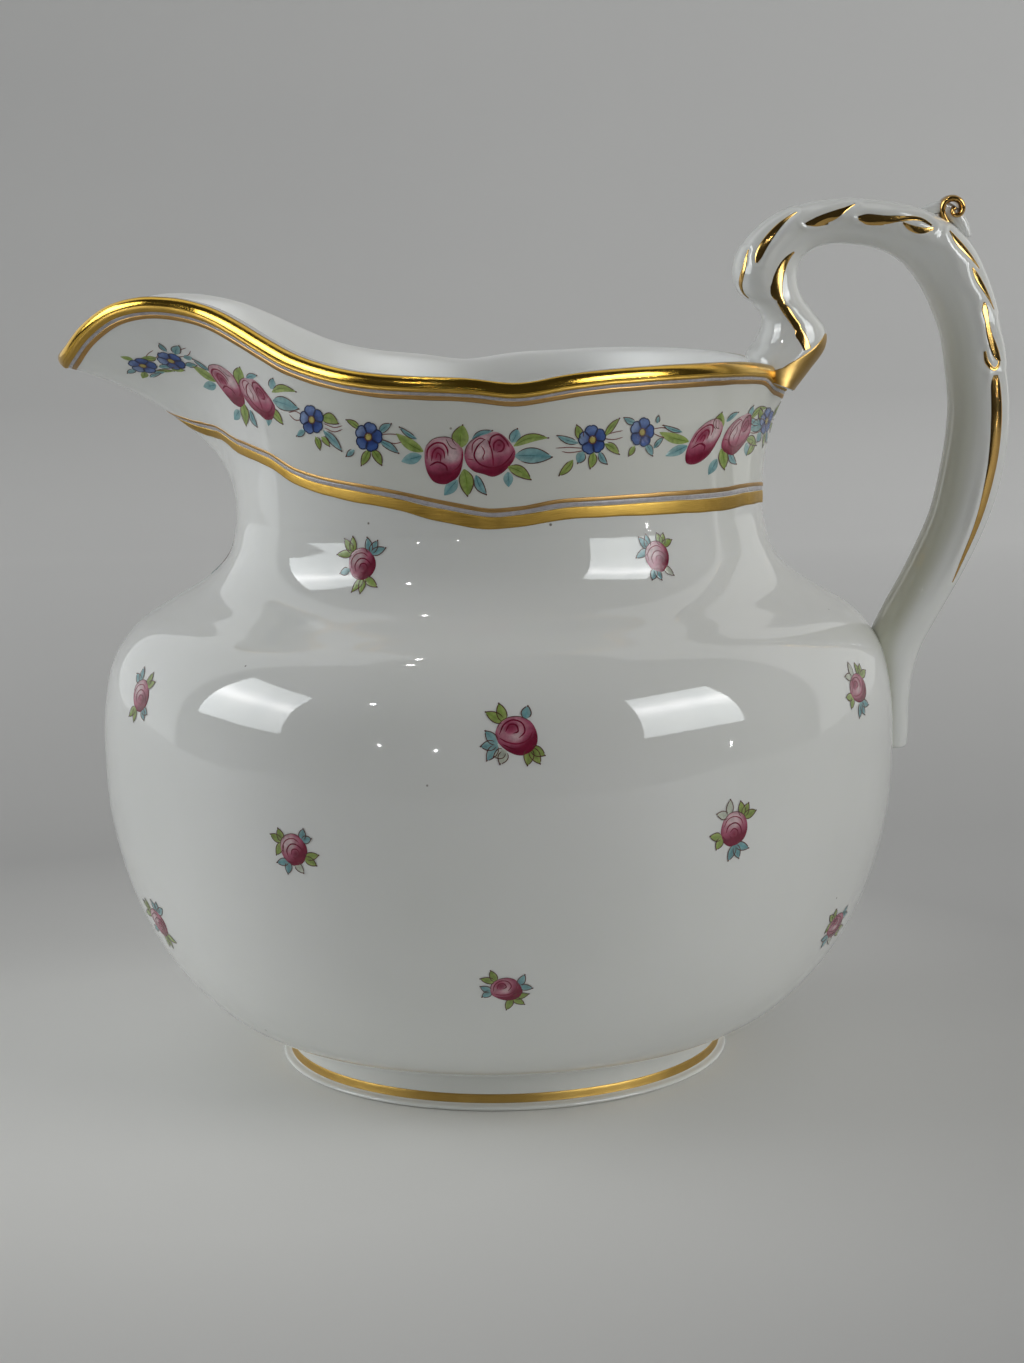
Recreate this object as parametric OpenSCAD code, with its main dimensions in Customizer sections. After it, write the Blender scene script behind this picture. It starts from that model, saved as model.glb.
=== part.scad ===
// Small porcelain cream jug: six soft lobes, beak spout, scrolled loop handle and enamel flowers.
// The jug stands on z = 0, the spout points along -X and the handle along +X.

/* [Body] */
// Largest radius of the belly
belly_r = 49.3; // [35:0.1:70]
// Height of the top of the foot
foot_h = 4.7; // [2:0.1:12]
// Height of the neck
neck_z = 68.5; // [50:0.5:90]
// Thickness of the porcelain
wall = 2.4; // [1.6:0.1:4]
// Depth of the six creases as a share of the radius
crease = 0.036; // [0:0.002:0.08]
// Softness of the creases
crease_soft = 0.45; // [0.2:0.05:0.9]

/* [Lip and spout] */
// Radius of the lip away from the spout
lip_r = 34.2; // [25:0.1:50]
// Height of the lip away from the spout
lip_z = 87.0; // [70:0.1:110]
// Reach of the spout from the axis of the body
spout_reach = 52.4; // [40:0.1:70]
// Height of the highest part of the spout above the rest of the lip
spout_rise = 9.2; // [2:0.1:20]
// Dip of the lip at the front and back creases
lip_dip = 0.85; // [0:0.05:3]
// How far the throat is drawn in under the spout
throat_in = 1.3; // [0:0.1:1.6]

/* [Foot] */
// Radius of the foot where it stands
foot_r = 28.3; // [20:0.1:40]
// Radius of the hollow inside the foot
foot_bore_r = 24.6; // [15:0.1:35]

/* [Handle] */
// Width of the handle across its back, as a factor
handle_width = 1.0; // [0.7:0.05:1.5]

/* [Decoration] */
// Height of the fired enamel and gold above the glaze
relief = 0.14; // [0.05:0.01:0.4]
// Width of the gold on the lip
lip_gold_w = 1.9; // [1:0.1:4]
// Distance of the lower gold border below the lip
border_s = 16.2; // [10:0.1:20]
// Diameter of a garland rose
rose_d = 5.6; // [3:0.1:8]
// Diameter of a sprig rose
sprig_rose_d = 4; // [2.5:0.1:6]
// Diameter of a blue flower
blue_d = 3.6; // [2:0.1:6]
// Length of a garland leaf
leaf_l = 3.6; // [2:0.1:6]
// Length of a sprig leaf
sprig_leaf_l = 2.4; // [1:0.1:4]

/* [Hidden] */
// Brings the middle of the whole jug over the origin
mid_x = -5.1;
sink = 0.1;
porcelain = [0.93, 0.93, 0.91];
gold = [0.83, 0.62, 0.22];

// Meridian of the belly: share of the belly radius, share of the way from foot to neck
belly_curve = [[0.552, 0], [0.641, 0.0125], [0.726, 0.049], [0.799, 0.099], [0.864, 0.16],
    [0.921, 0.238], [0.963, 0.331], [0.992, 0.436], [1, 0.538], [0.996, 0.635],
    [0.972, 0.727], [0.911, 0.795], [0.824, 0.839], [0.744, 0.879], [0.694, 0.929], [0.673, 1]];
// Lip: angle from the spout tip, radius, height of its top
lip_curve = [[0, spout_reach, lip_z + 2.6], [4.5, spout_reach - 0.9, lip_z + 3.6],
    [8.5, spout_reach - 3, lip_z + 6.2], [12.5, spout_reach - 6, lip_z + 8.4],
    [16, lip_r + 8.8, lip_z + spout_rise], [19.5, lip_r + 5.5, lip_z + spout_rise - 0.3],
    [24, lip_r + 2.8, lip_z + 7.9], [30, lip_r + 1, lip_z + 6.3], [38, lip_r + 0.1, lip_z + 4.4],
    [46, lip_r - 0.1, lip_z + 2.7], [54, lip_r - 0.4, lip_z + 1.4], [64, lip_r - 0.4, lip_z + 0.4],
    [77, lip_r - 0.2, lip_z - 0.1], [90, lip_r + 0.1, lip_z - 0.1], [104, lip_r + 0.1, lip_z],
    [116, lip_r, lip_z + 0.3], [128, lip_r - 0.1, lip_z + 0.4], [148, lip_r - 0.3, lip_z + 0.2],
    [160, lip_r, lip_z - 0.2], [171, lip_r + 1.2, lip_z - 1], [180, lip_r + 2.4, lip_z - 1.8]];
// Slope of the wall at the lip, and the two lengths that steer the curve up to it
slope_curve = [[0, 12], [8, 33], [16, 58], [25, 66], [40, 68], [60, 68], [180, 66]];
neck_pull = [[0, 12.5], [16, 17.5], [30, 11], [60, 8], [180, 8]];
lip_pull = [[0, 4.2], [10, 9], [20, 6], [40, 5], [60, 4.5], [180, 4.5]];

// Handle stations: outer x and z, inner x and z, half width across
hw = handle_width;
handle_curve = [[33, 84.4, 36.9, 82.8, 8 * hw], [31.4, 87, 39, 85.3, 7.2 * hw],
    [32.6, 89, 40.9, 87.9, 6.4 * hw], [33.4, 91.3, 41, 90.2, 5.8 * hw],
    [32.3, 93.4, 39.5, 92.4, 5.3 * hw], [30.5, 94.9, 38.2, 94.2, 5 * hw],
    [30, 97.2, 37.6, 96.2, 4.8 * hw], [30.8, 99.8, 37.8, 98, 4.6 * hw],
    [32.6, 102, 38.6, 99.2, 4.5 * hw], [35.4, 104, 40, 100.1, 4.4 * hw],
    [39.4, 105.3, 42, 100.5, 4.3 * hw], [43.8, 105.6, 44.4, 100.4, 4.3 * hw],
    [48.4, 105.2, 47.2, 99.9, 4.3 * hw], [52.6, 104.2, 49.6, 98.8, 4.3 * hw],
    [55.8, 102.6, 51.4, 97.2, 4.3 * hw], [58.6, 99.8, 53, 94.9, 4.3 * hw],
    [60.6, 95.8, 54.3, 92.2, 4.3 * hw], [62, 91.2, 55.4, 89, 4.3 * hw],
    [62.9, 85.8, 56, 85, 4.3 * hw], [63.3, 80.4, 56.4, 80.6, 4.3 * hw],
    [63, 75, 56.1, 76.2, 4.2 * hw], [62.1, 70.4, 55.3, 71.6, 4.2 * hw],
    [60.7, 66, 54.2, 67.2, 4.1 * hw], [58.9, 61.6, 52.5, 63.2, 4.1 * hw],
    [56.8, 57.4, 50.5, 59.2, 4 * hw], [54.8, 53.8, 48.4, 55.4, 4 * hw],
    [53.1, 50.6, 46.8, 51.6, 3.9 * hw], [52, 47.2, 47.3, 47.4, 3.8 * hw],
    [51.6, 43.6, 47.6, 43.6, 3.6 * hw], [51.5, 40.2, 47.6, 40.2, 3.3 * hw],
    [51.4, 38.4, 47.6, 38.4, 3 * hw]];
// Centre of the small scroll on the back of the handle: x, z, half thickness
scroll_curve = [[58.2, 100.6, 0.5], [56.8, 101.9, 0.5], [56, 102.9, 0.55], [55.3, 104.1, 0.55],
    [55.3, 105.2, 0.55], [55.9, 105.9, 0.6], [56.8, 106, 0.6], [57.6, 105.5, 0.6],
    [57.8, 104.7, 0.6], [57.5, 104.1, 0.6]];

// Smooth value read from a table whose first column is the key
function slot_of(tab, x, k = 0) =
    k >= len(tab) - 2 || tab[k + 1][0] > x ? k : slot_of(tab, x, k + 1);
function tangent(tab, k, c) =
    k <= 0 || k >= len(tab) - 1 ? 0 : (tab[k + 1][c] - tab[k - 1][c]) / (tab[k + 1][0] - tab[k - 1][0]);
function read_curve(tab, x, c = 1) =
    let (k = slot_of(tab, x), h = tab[k + 1][0] - tab[k][0], t = (x - tab[k][0]) / h)
    (2 * t * t * t - 3 * t * t + 1) * tab[k][c] + (t * t * t - 2 * t * t + t) * h * tangent(tab, k, c)
    + (3 * t * t - 2 * t * t * t) * tab[k + 1][c] + (t * t * t - t * t) * h * tangent(tab, k + 1, c);
// Point on a smooth curve through a list of points
function at(list, i) =
    i < 0 ? 2 * list[0] - list[1] : i > len(list) - 1 ? 2 * list[i - 1] - list[i - 2] : list[i];
function through(list, u) =
    let (i = min(max(floor(u), 0), len(list) - 2), t = u - i,
        a = at(list, i - 1), b = at(list, i), c = at(list, i + 1), d = at(list, i + 2))
    0.5 * (2 * b + (c - a) * t + (2 * a - 5 * b + 4 * c - d) * t * t + (3 * b - a - 3 * c + d) * t * t * t);
function ramp(a, b, x) =
    let (t = min(max((x - a) / (b - a), 0), 1))
    t * t * (3 - 2 * t);
function unit(v) = v / norm(v);

// Six lobes round the body
function depth(z) = crease * ramp(5, 24, z) * (1 - 0.25 * ramp(50, 62, z));
function lobe(a, d) =
    1 - d * (1 - sqrt(pow(cos(3 * a), 2) * (1 - crease_soft * crease_soft) + crease_soft * crease_soft));
function from_tip(a) = abs((a + 720) % 360 - 180);
function dip(a) =
    let (g = (a + 720) % 360)
    lip_dip * (exp(-pow((g - 275) / 8, 2)) + exp(-pow((g - 96) / 9, 2)));
// The wall under the spout stands in from the round of the neck
function pinch(a, z) =
    throat_in * exp(-pow(from_tip(a) / 24, 2)) * ramp(57, 66, z) * (1 - ramp(74, 84, z));

// Outer surface: a is the angle round the axis, v runs 0 at the foot, 1 at the neck, 2 at the lip
function belly(a, v) =
    let (q = through(belly_curve, v * (len(belly_curve) - 1)),
        z = foot_h + q[1] * (neck_z - foot_h),
        r = belly_r * q[0] * lobe(a, depth(z)) - pinch(a, z))
    [r * cos(a), r * sin(a), z];
function throat(a, t) =
    let (d = from_tip(a), k = 1 - t, s = read_curve(slope_curve, d),
        r0 = belly_r * 0.673 * lobe(a, depth(neck_z)),
        r3 = read_curve(lip_curve, d, 1) * lobe(a, 0.012 * ramp(35, 60, d) * (1 - ramp(150, 170, d))),
        z3 = read_curve(lip_curve, d, 2) - dip(a) - wall / 2 * (1 + cos(s)),
        z1 = neck_z + read_curve(neck_pull, d), b = read_curve(lip_pull, d),
        r2 = r3 - b * cos(s), z2 = z3 - b * sin(s),
        r = k * k * k * r0 + 3 * k * k * t * r0 + 3 * k * t * t * r2 + t * t * t * r3,
        z = k * k * k * neck_z + 3 * k * k * t * z1 + 3 * k * t * t * z2 + t * t * t * z3,
        q = r - pinch(a, z))
    [q * cos(a), q * sin(a), z];
function skin(a, v) = (v <= 1 ? belly(a, v) : throat(a, min(v, 2) - 1)) + [mid_x, 0, 0];
function up(a, v) = unit(skin(a, min(v + 0.002, 2)) - skin(a, v - 0.002));
function out(a, v) =
    unit(cross(skin(a + 0.1, v) - skin(a - 0.1, v), skin(a, min(v + 0.002, 2)) - skin(a, max(v - 0.002, 0))));
// Rounded edge of the lip: w runs 0 on the outside, 180 on the inside
function edge(a, w, more = 0) =
    let (n = out(a, 2), u = up(a, 2))
    skin(a, 2) - n * wall / 2 + (wall / 2 + more) * (cos(w) * n + sin(w) * u);
// Point s mm below the top edge, lifted by h
step_n = 12;
function drop_table(a) =
    let (p = [for (k = [0:step_n]) skin(a, 2 - k * 1.2 / step_n)])
    [for (k = [0:step_n]) [k == 0 ? 0 : sum_to(p, k), 2 - k * 1.2 / step_n]];
function sum_to(p, k) = k == 0 ? 0 : norm(p[k] - p[k - 1]) + sum_to(p, k - 1);
function v_below(a, s) = lookup(s - wall * 0.785, drop_table(a));
function below(a, s, h = 0) =
    s < wall * 0.785 ? edge(a, 90 - s / (wall / 2) * 57.3, h)
        : let (v = v_below(a, s)) skin(a, v) + h * out(a, v);

// Angles round the jug, closer together at the spout
half_turn = concat([0, 2, 4, 6, 8.5, 11, 14, 17.5, 21, 25], [for (k = [30:5:180]) k]);
turn = concat([for (d = half_turn) 180 + d], [for (k = [len(half_turn) - 2:-1:1]) 180 - half_turn[k]]);
around = len(turn);

// Closed tube or shell from rows of points, all rows the same length
function row_faces(m, n, wrap_rows) =
    [for (j = [0:(wrap_rows ? m - 1 : m - 2)]) for (i = [0:n - 1]) for (k = [0, 1])
        let (a = j * n + i, b = j * n + (i + 1) % n, c = ((j + 1) % m) * n + (i + 1) % n,
            d = ((j + 1) % m) * n + i)
        k == 0 ? [a, c, b] : [a, d, c]];
module skin_of(rows, c0, c1) {
    m = len(rows);
    n = len(rows[0]);
    pts = concat([for (r = rows) for (p = r) p], [c0, c1]);
    caps = [for (i = [0:n - 1]) for (k = [0, 1])
        k == 0 ? [m * n, i, (i + 1) % n] : [m * n + 1, (m - 1) * n + (i + 1) % n, (m - 1) * n + i]];
    polyhedron(pts, concat(row_faces(m, n, false), caps));
}
module ring_of(rows) {
    polyhedron([for (r = rows) for (p = r) p], row_faces(len(rows), len(rows[0]), true));
}
module hoop(s0, s1) {
    ring_of([for (q = [[s1, -sink], [s1, relief * 0.6], [(s0 + s1) / 2, relief], [s0, relief * 0.6],
        [s0, -sink]]) [for (a = turn) below(a, q[0], q[1])]]);
}

v_out = concat([for (k = [0:18]) k / 18], [for (k = [1:8]) 1 + k / 8]);
v_in = [1.97, 1.75, 1.5, 1.25, 1, 0.9, 0.8, 0.7, 0.58, 0.46, 0.34, 0.24, 0.15, 0.07, 0];
module shell() {
    rows = concat([for (v = v_out) [for (a = turn) skin(a, v)]],
        [for (w = [45, 90, 135]) [for (a = turn) edge(a, w)]],
        [for (v = v_in) [for (a = turn) skin(a, v) - wall * out(a, v)]]);
    skin_of(rows, [mid_x, 0, foot_h], [mid_x, 0, foot_h + wall]);
}

// Handle: u counts the stations, w goes round the section from the outer edge to the near side
function power(x, e) = sign(x) * pow(abs(x), e);
function grip(u, w, h = 0) =
    let (q = through(handle_curve, u), o = [q[0], q[1]], i = [q[2], q[3]],
        c = (o + i) / 2, r = (o - i) / 2, x = power(cos(w), 0.8), y = power(sin(w), 0.8),
        p = c + r * x * (1 + h / norm(r)))
    [p[0] + mid_x, -(q[4] + h) * y, p[1]];
function grip_centre(u) =
    let (q = through(handle_curve, u))
    [(q[0] + q[2]) / 2 + mid_x, 0, (q[1] + q[3]) / 2];
section = [for (k = [0:15]) k * 22.5];
function curl(u) =
    let (q = through(scroll_curve, u),
        t = unit(through(scroll_curve, min(u + 0.1, 9)) - through(scroll_curve, max(u - 0.1, 0))))
    [for (w = [0:36:324]) [q[0] + mid_x - t[1] * q[2] * cos(w), -1.7 * sin(w),
        q[1] + t[0] * q[2] * cos(w)]];
module handle_solid() {
    skin_of([for (u = [0:0.5:30]) [for (w = section) grip(u, w)]], grip_centre(0), grip_centre(30));
}

// Small raised shape laid on the body: a list of [across, along] points round a centre
function laid(a, v, p, h) =
    let (n = out(a, v), e = unit(cross([0, 0, 1], n)), f = cross(n, e), q = skin(a, v) + e * p[0] + f * p[1],
        rr = norm([q[0] - mid_x, q[1]]), bend = (p[0] * p[0]) / (2 * max(rr, 10)) * (1 - abs(n[2])),
        roll = v > 0.62 ? 0 : p[1] * p[1] / 90)
    q - n * (bend + roll) + n * h;
function blob(l, w, n) = [for (k = [0:n - 1]) [w / 2 * sin(k * 360 / n), l / 2 * cos(k * 360 / n)]];
function pointed(l, w) = [[0, l], [w / 2, l * 0.55], [w * 0.36, l * 0.16], [0, 0],
    [-w * 0.36, l * 0.16], [-w / 2, l * 0.55]];
function turned(p, t, x, y) = [p[0] * cos(t) + p[1] * sin(t) + x, p[1] * cos(t) - p[0] * sin(t) + y];
module petal(a, v, outline, top, h) {
    n = len(outline);
    pts = concat([for (p = outline) laid(a, v, p, -sink)],
        [for (p = outline) laid(a, v, p, h * 0.5)], [laid(a, v, top, -sink)], [laid(a, v, top, h)]);
    polyhedron(pts, concat([for (i = [0:n - 1]) [i, (i + 1) % n, n + (i + 1) % n]],
        [for (i = [0:n - 1]) [i, n + (i + 1) % n, n + i]],
        [for (i = [0:n - 1]) [2 * n, (i + 1) % n, i]],
        [for (i = [0:n - 1]) [2 * n + 1, n + i, n + (i + 1) % n]]));
}
module rose(a, v, d) {
    petal(a, v, blob(d, d * 0.92, 12), [0, 0], relief * 2);
}
module leaf(a, v, t, x, y, l) {
    petal(a, v, [for (p = pointed(l, l * 0.46)) turned(p, t, x, y)],
        turned([0, l * 0.5], t, x, y), relief);
}

// Garland: rose pairs and blue flower pairs, angle round the jug and distance below the lip
rose_pairs = [[205, 9.7, 214.5, 8.6], [260.3, 9.7, 269.7, 8.7], [318.3, 9.4, 332.5, 8.7],
    [18, 9.2, 32, 9.2], [79, 9.2, 89, 9.2], [141, 8.8, 150.5, 9.7]];
blue_pairs = [[190.5, 9, 195.5, 9.6], [233, 7.3, 245, 7.6], [290, 8.1, 301, 7.8],
    [352, 7.6, 2, 7.8], [50, 7.8, 62, 7.8], [108, 7.8, 119, 7.6], [129, 7.3, 168.5, 9]];
rose_list = [for (q = rose_pairs) for (k = [0, 2]) [q[k], q[k + 1]]];
blue_list = [for (q = blue_pairs) for (k = [0, 2]) [q[k], q[k + 1]]];
// Leaves of a rose pair, set out from the middle of the pair: turn, across, up, length factor
pair_green = [[-60, -4.4, 2.6, 1.1], [10, -0.6, 2.9, 0.9], [150, -4.2, -3, 0.9], [118, 6.2, -1.8, 1]];
pair_blue = [[62, 5.9, 1.8, 1.15], [-98, -6.2, 0.2, 1.05], [168, 0.4, -3.2, 0.95], [35, 3.6, 3.1, 0.8]];
flower_green = [[-35, -1.6, 1.8, 0.75], [165, 0.6, -2.1, 0.8]];
flower_blue = [[72, 2.2, 0.4, 0.7], [-150, -1.6, -1.8, 0.75]];
// Sprigs over the body: angle and place between foot and neck, tilt of the sprig
sprigs = [[272.5, 0.64, 20], [270.5, 0.33, 0], [242.5, 0.5, 10], [302, 0.51, -10], [208, 0.65, 0],
    [333, 0.64, 15], [204.5, 0.35, 20], [334, 0.33, -20], [243.5, 0.96, -10], [303.5, 0.96, 25],
    [180, 0.5, 0], [149, 0.64, 10], [149, 0.34, -15], [120, 0.5, 0], [90, 0.64, 20], [90, 0.34, 5],
    [60, 0.5, -12], [30, 0.64, 0], [30, 0.34, 12], [120, 0.96, 15], [60, 0.96, -15], [180, 0.93, 0]];
sprig_green = [[-40, -1.6, 1.9, 1], [0, -0.5, 2.3, 0.9], [150, 1.4, -1.8, 1], [195, 0.4, -2.2, 0.85]];
sprig_blue = [[50, 1.9, 1.5, 1], [-110, -2.3, -0.5, 1]];

// Gold strokes on each side of the handle: station and place across the side
strokes = [[[1.8, 0.73, 0.6], [2.7, 0.5, 0.7], [3.6, 0.42, 0.75], [4.8, 0.55, 0.8], [5.9, 0.65, 0.85],
        [6.9, 0.7, 0.7], [7.8, 0.75, 0.2]],
    [[1.3, 0.93, 0.3], [1.9, 0.9, 0.75], [2.7, 0.93, 0.2]],
    [[4.8, 0.1, 0.2], [5.4, 0.12, 0.45], [6.3, 0.14, 0.4], [7.1, 0.12, 0.15]],
    [[6.9, 0.27, 0.3], [7.7, 0.25, 0.55], [8.6, 0.2, 0.4], [9.4, 0.14, 0.15]],
    [[9.4, 0.4, 0.25], [9.9, 0.43, 0.5], [10.5, 0.33, 0.45], [11.1, 0.14, 0.15]],
    [[11.25, 0.38, 0.35], [11.8, 0.38, 0.6], [12.4, 0.28, 0.45], [13, 0.18, 0.4], [13.5, 0.25, 0.15]],
    [[14.3, 0.14, 0.15], [14.7, 0.16, 0.4], [15, 0.16, 0.4], [15.4, 0.12, 0.15]],
    [[15.6, 0.2, 0.25], [15.9, 0.17, 0.45], [16.2, 0.14, 0.4], [16.5, 0.1, 0.15]],
    [[16.7, 0.25, 0.3], [17.1, 0.28, 0.4], [17.6, 0.26, 0.45], [18.05, 0.26, 0.2]],
    [[18.3, 0.24, 0.4], [19, 0.25, 0.65], [19.8, 0.23, 0.6], [20.8, 0.2, 0.5], [22, 0.18, 0.35],
        [23.6, 0.15, 0.12]]];
function side_of(k, s) =
    let (x = 1 - 2 * k, w = acos(power(x, 1.25)))
    s > 0 ? w : 360 - w;
function beside(q, across, s, h) =
    let (u0 = q[0], p = grip(u0, side_of(q[1], s)), t = through(handle_curve, u0),
        o = [t[0] - t[2], t[1] - t[3]], k = min(max(q[1] - across / norm(o), 0.02), 0.98))
    grip(u0, side_of(k, s), h);
module stroke(list, s) {
    rows = [for (q = list) let (r = [beside(q, -q[2], s, -sink), beside(q, -q[2] * 0.6, s, relief * 0.8),
        beside(q, q[2] * 0.6, s, relief * 0.8), beside(q, q[2], s, -sink)])
        s > 0 ? r : [r[3], r[2], r[1], r[0]]];
    m = len(rows);
    faces = concat([for (j = [0:m - 2]) for (i = [0:3]) for (k = [0, 1])
        let (a = j * 4 + i, b = j * 4 + (i + 1) % 4, c = (j + 1) * 4 + (i + 1) % 4, d = (j + 1) * 4 + i)
        k == 0 ? [a, b, c] : [a, c, d]], [[0, 3, 2], [0, 2, 1]],
        [[4 * m - 4, 4 * m - 3, 4 * m - 2], [4 * m - 4, 4 * m - 2, 4 * m - 1]]);
    polyhedron([for (r = rows) for (p = r) p], faces);
}

module jug_body() {
    color(porcelain) shell();
}
module foot_ring() {
    color(porcelain) translate([mid_x, 0, 0]) rotate_extrude($fn = 96) polygon([
        [foot_bore_r, foot_h], [foot_bore_r, 0.7], [foot_bore_r + 0.7, 0], [foot_r - 0.35, 0],
        [foot_r, 0.3], [foot_r - 0.2, 0.55], [foot_r - 0.8, 0.72], [foot_r - 1, 1.1],
        [foot_r - 1.15, 2.4], [foot_r - 1.2, 3.6], [foot_r - 1, foot_h]]);
}
module handle() {
    color(porcelain) resize([0, 0, 0]) difference() {
        handle_solid();
        shell();
    }
}
module handle_scroll() {
    color(gold) skin_of([for (u = [0:0.5:9]) curl(u)],
        [scroll_curve[0][0] + mid_x, 0, scroll_curve[0][1]],
        [scroll_curve[9][0] + mid_x, 0, scroll_curve[9][1]]);
}
module gilt_lip() {
    color(gold) ring_of(concat([for (q = [[lip_gold_w, -sink], [lip_gold_w, relief * 0.7],
        [wall * 0.785, relief]]) [for (a = turn) below(a, q[0], q[1])]],
        [for (w = [35, 70, 100]) [for (a = turn) edge(a, w, relief)]],
        [for (w = [112, 70, 35]) [for (a = turn) edge(a, w, -sink)]]));
}
module lilac_lip_line() {
    color([0.72, 0.64, 0.74]) hoop(lip_gold_w + 0.1, lip_gold_w + 0.9);
}
module gilt_lip_line() {
    color(gold) hoop(lip_gold_w + 1, lip_gold_w + 1.55);
}
module gilt_border_line() {
    color(gold) hoop(border_s - 2.3, border_s - 1.9);
}
module lilac_border_line() {
    color([0.72, 0.64, 0.74]) hoop(border_s - 1.8, border_s - 0.95);
}
module gilt_border_band() {
    color(gold) hoop(border_s - 0.85, border_s + 0.75);
}
module gilt_foot_band() {
    color(gold) translate([mid_x, 0, 0]) rotate_extrude($fn = 96) polygon([
        [foot_r - 1.2, 0.85], [foot_r - 0.87, 0.85], [foot_r - 0.95, 1.3], [foot_r - 0.99, 1.85],
        [foot_r - 1.2, 1.85]]);
}
module gilt_handle_strokes() {
    color(gold) for (s = [1, -1]) for (l = strokes) stroke(l, s);
}
module garland_roses() {
    color([0.75, 0.2, 0.38]) for (q = rose_list) rose(q[0], v_below(q[0], q[1]), rose_d);
}
module garland_blue_flowers() {
    color([0.2, 0.3, 0.6]) for (q = blue_list) rose(q[0], v_below(q[0], q[1]), blue_d);
}
module garland_leaves_green() {
    color([0.45, 0.55, 0.2]) {
        for (q = rose_pairs) for (f = pair_green)
            pair_leaf(q, f);
        for (q = blue_list) for (f = flower_green)
            leaf(q[0], v_below(q[0], q[1]), f[0], f[1], f[2], leaf_l * f[3]);
    }
}
module garland_leaves_turquoise() {
    color([0.45, 0.68, 0.7]) {
        for (q = rose_pairs) for (f = pair_blue)
            pair_leaf(q, f);
        for (q = blue_list) for (f = flower_blue)
            leaf(q[0], v_below(q[0], q[1]), f[0], f[1], f[2], leaf_l * f[3]);
    }
}
module pair_leaf(q, f) {
    k = f[1] > 0 ? 2 : 0;
    leaf(q[k], v_below(q[k], q[k + 1]), f[0], f[1] - (k == 2 ? 2.7 : -2.7), f[2], leaf_l * f[3]);
}
module sprig_roses() {
    color([0.75, 0.2, 0.38]) for (q = sprigs) rose(q[0], q[1], sprig_rose_d);
}
module sprig_leaves_green() {
    color([0.45, 0.55, 0.2]) for (q = sprigs) for (f = sprig_green)
        sprig_leaf(q, f);
}
module sprig_leaves_turquoise() {
    color([0.45, 0.68, 0.7]) for (q = sprigs) for (f = sprig_blue)
        sprig_leaf(q, f);
}
module sprig_leaf(q, f) {
    p = turned([f[1], f[2]], q[2], 0, 0);
    leaf(q[0], q[1], f[0] + q[2], p[0], p[1], sprig_leaf_l * f[3]);
}

jug_body();
foot_ring();
handle();
handle_scroll();
gilt_lip();
lilac_lip_line();
gilt_lip_line();
gilt_border_line();
lilac_border_line();
gilt_border_band();
gilt_foot_band();
gilt_handle_strokes();
garland_roses();
garland_blue_flowers();
garland_leaves_green();
garland_leaves_turquoise();
sprig_roses();
sprig_leaves_green();
sprig_leaves_turquoise();
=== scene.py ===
import math

import bpy
import numpy as np
from mathutils import Matrix, Vector


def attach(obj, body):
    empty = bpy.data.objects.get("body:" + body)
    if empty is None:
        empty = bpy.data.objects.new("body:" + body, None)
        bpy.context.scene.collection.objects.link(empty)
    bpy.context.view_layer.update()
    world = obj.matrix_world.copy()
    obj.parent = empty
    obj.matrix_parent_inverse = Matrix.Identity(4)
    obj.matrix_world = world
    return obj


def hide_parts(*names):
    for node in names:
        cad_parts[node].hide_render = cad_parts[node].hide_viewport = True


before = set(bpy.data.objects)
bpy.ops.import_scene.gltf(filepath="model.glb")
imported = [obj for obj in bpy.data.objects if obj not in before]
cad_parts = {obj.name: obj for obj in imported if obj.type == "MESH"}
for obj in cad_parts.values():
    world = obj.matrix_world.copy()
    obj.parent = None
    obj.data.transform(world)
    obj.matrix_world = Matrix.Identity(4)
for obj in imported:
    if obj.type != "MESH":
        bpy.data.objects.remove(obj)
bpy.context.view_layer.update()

# Shapes are written in mm about the axis of the body, which is at x = MID_X in the row frame.
MID_X = -5.1
WALL = 2.4
FLOOR_Z = 7.15   # top of the floor inside
RNG = np.random.default_rng(7)

# ------------------------------------------------------------------ camera
LENS_MM = 70.19
PITCH, ROLL = 0.16445, 0.0190   # radians
EYE = (-0.003343, -0.330, 0.10164)   # metres in the row frame

cam = bpy.data.objects.new("Camera", bpy.data.cameras.new("Camera"))
bpy.context.scene.collection.objects.link(cam)
bpy.context.scene.camera = cam
cam.data.lens = LENS_MM
cam.data.sensor_width = 36
cam.data.clip_start = 0.01
look = Vector((0, math.cos(PITCH), -math.sin(PITCH)))
level_up, level_right = Vector((0, math.sin(PITCH), math.cos(PITCH))), Vector((1, 0, 0))
right = level_right * math.cos(ROLL) - level_up * math.sin(ROLL)
up = level_right * math.sin(ROLL) + level_up * math.cos(ROLL)
cam.matrix_world = Matrix((
    (right.x, up.x, -look.x, EYE[0]),
    (right.y, up.y, -look.y, EYE[1]),
    (right.z, up.z, -look.z, EYE[2]),
    (0, 0, 0, 1)))

# ------------------------------------------------------------------ surface of the body
# radius and height of the belly, from the foot to the neck
BELLY = [(27.2, 4.7), (31.6, 5.5), (35.8, 7.8), (39.4, 11), (42.6, 14.9), (45.4, 19.9), (47.5, 25.8),
         (48.9, 32.5), (49.3, 39), (49.1, 45.2), (47.9, 51.1), (44.9, 55.4), (40.6, 58.2), (36.7, 60.8),
         (34.2, 64), (33.2, 68.5)]
NECK_R, NECK_Z = 33.2, 68.5
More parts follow.
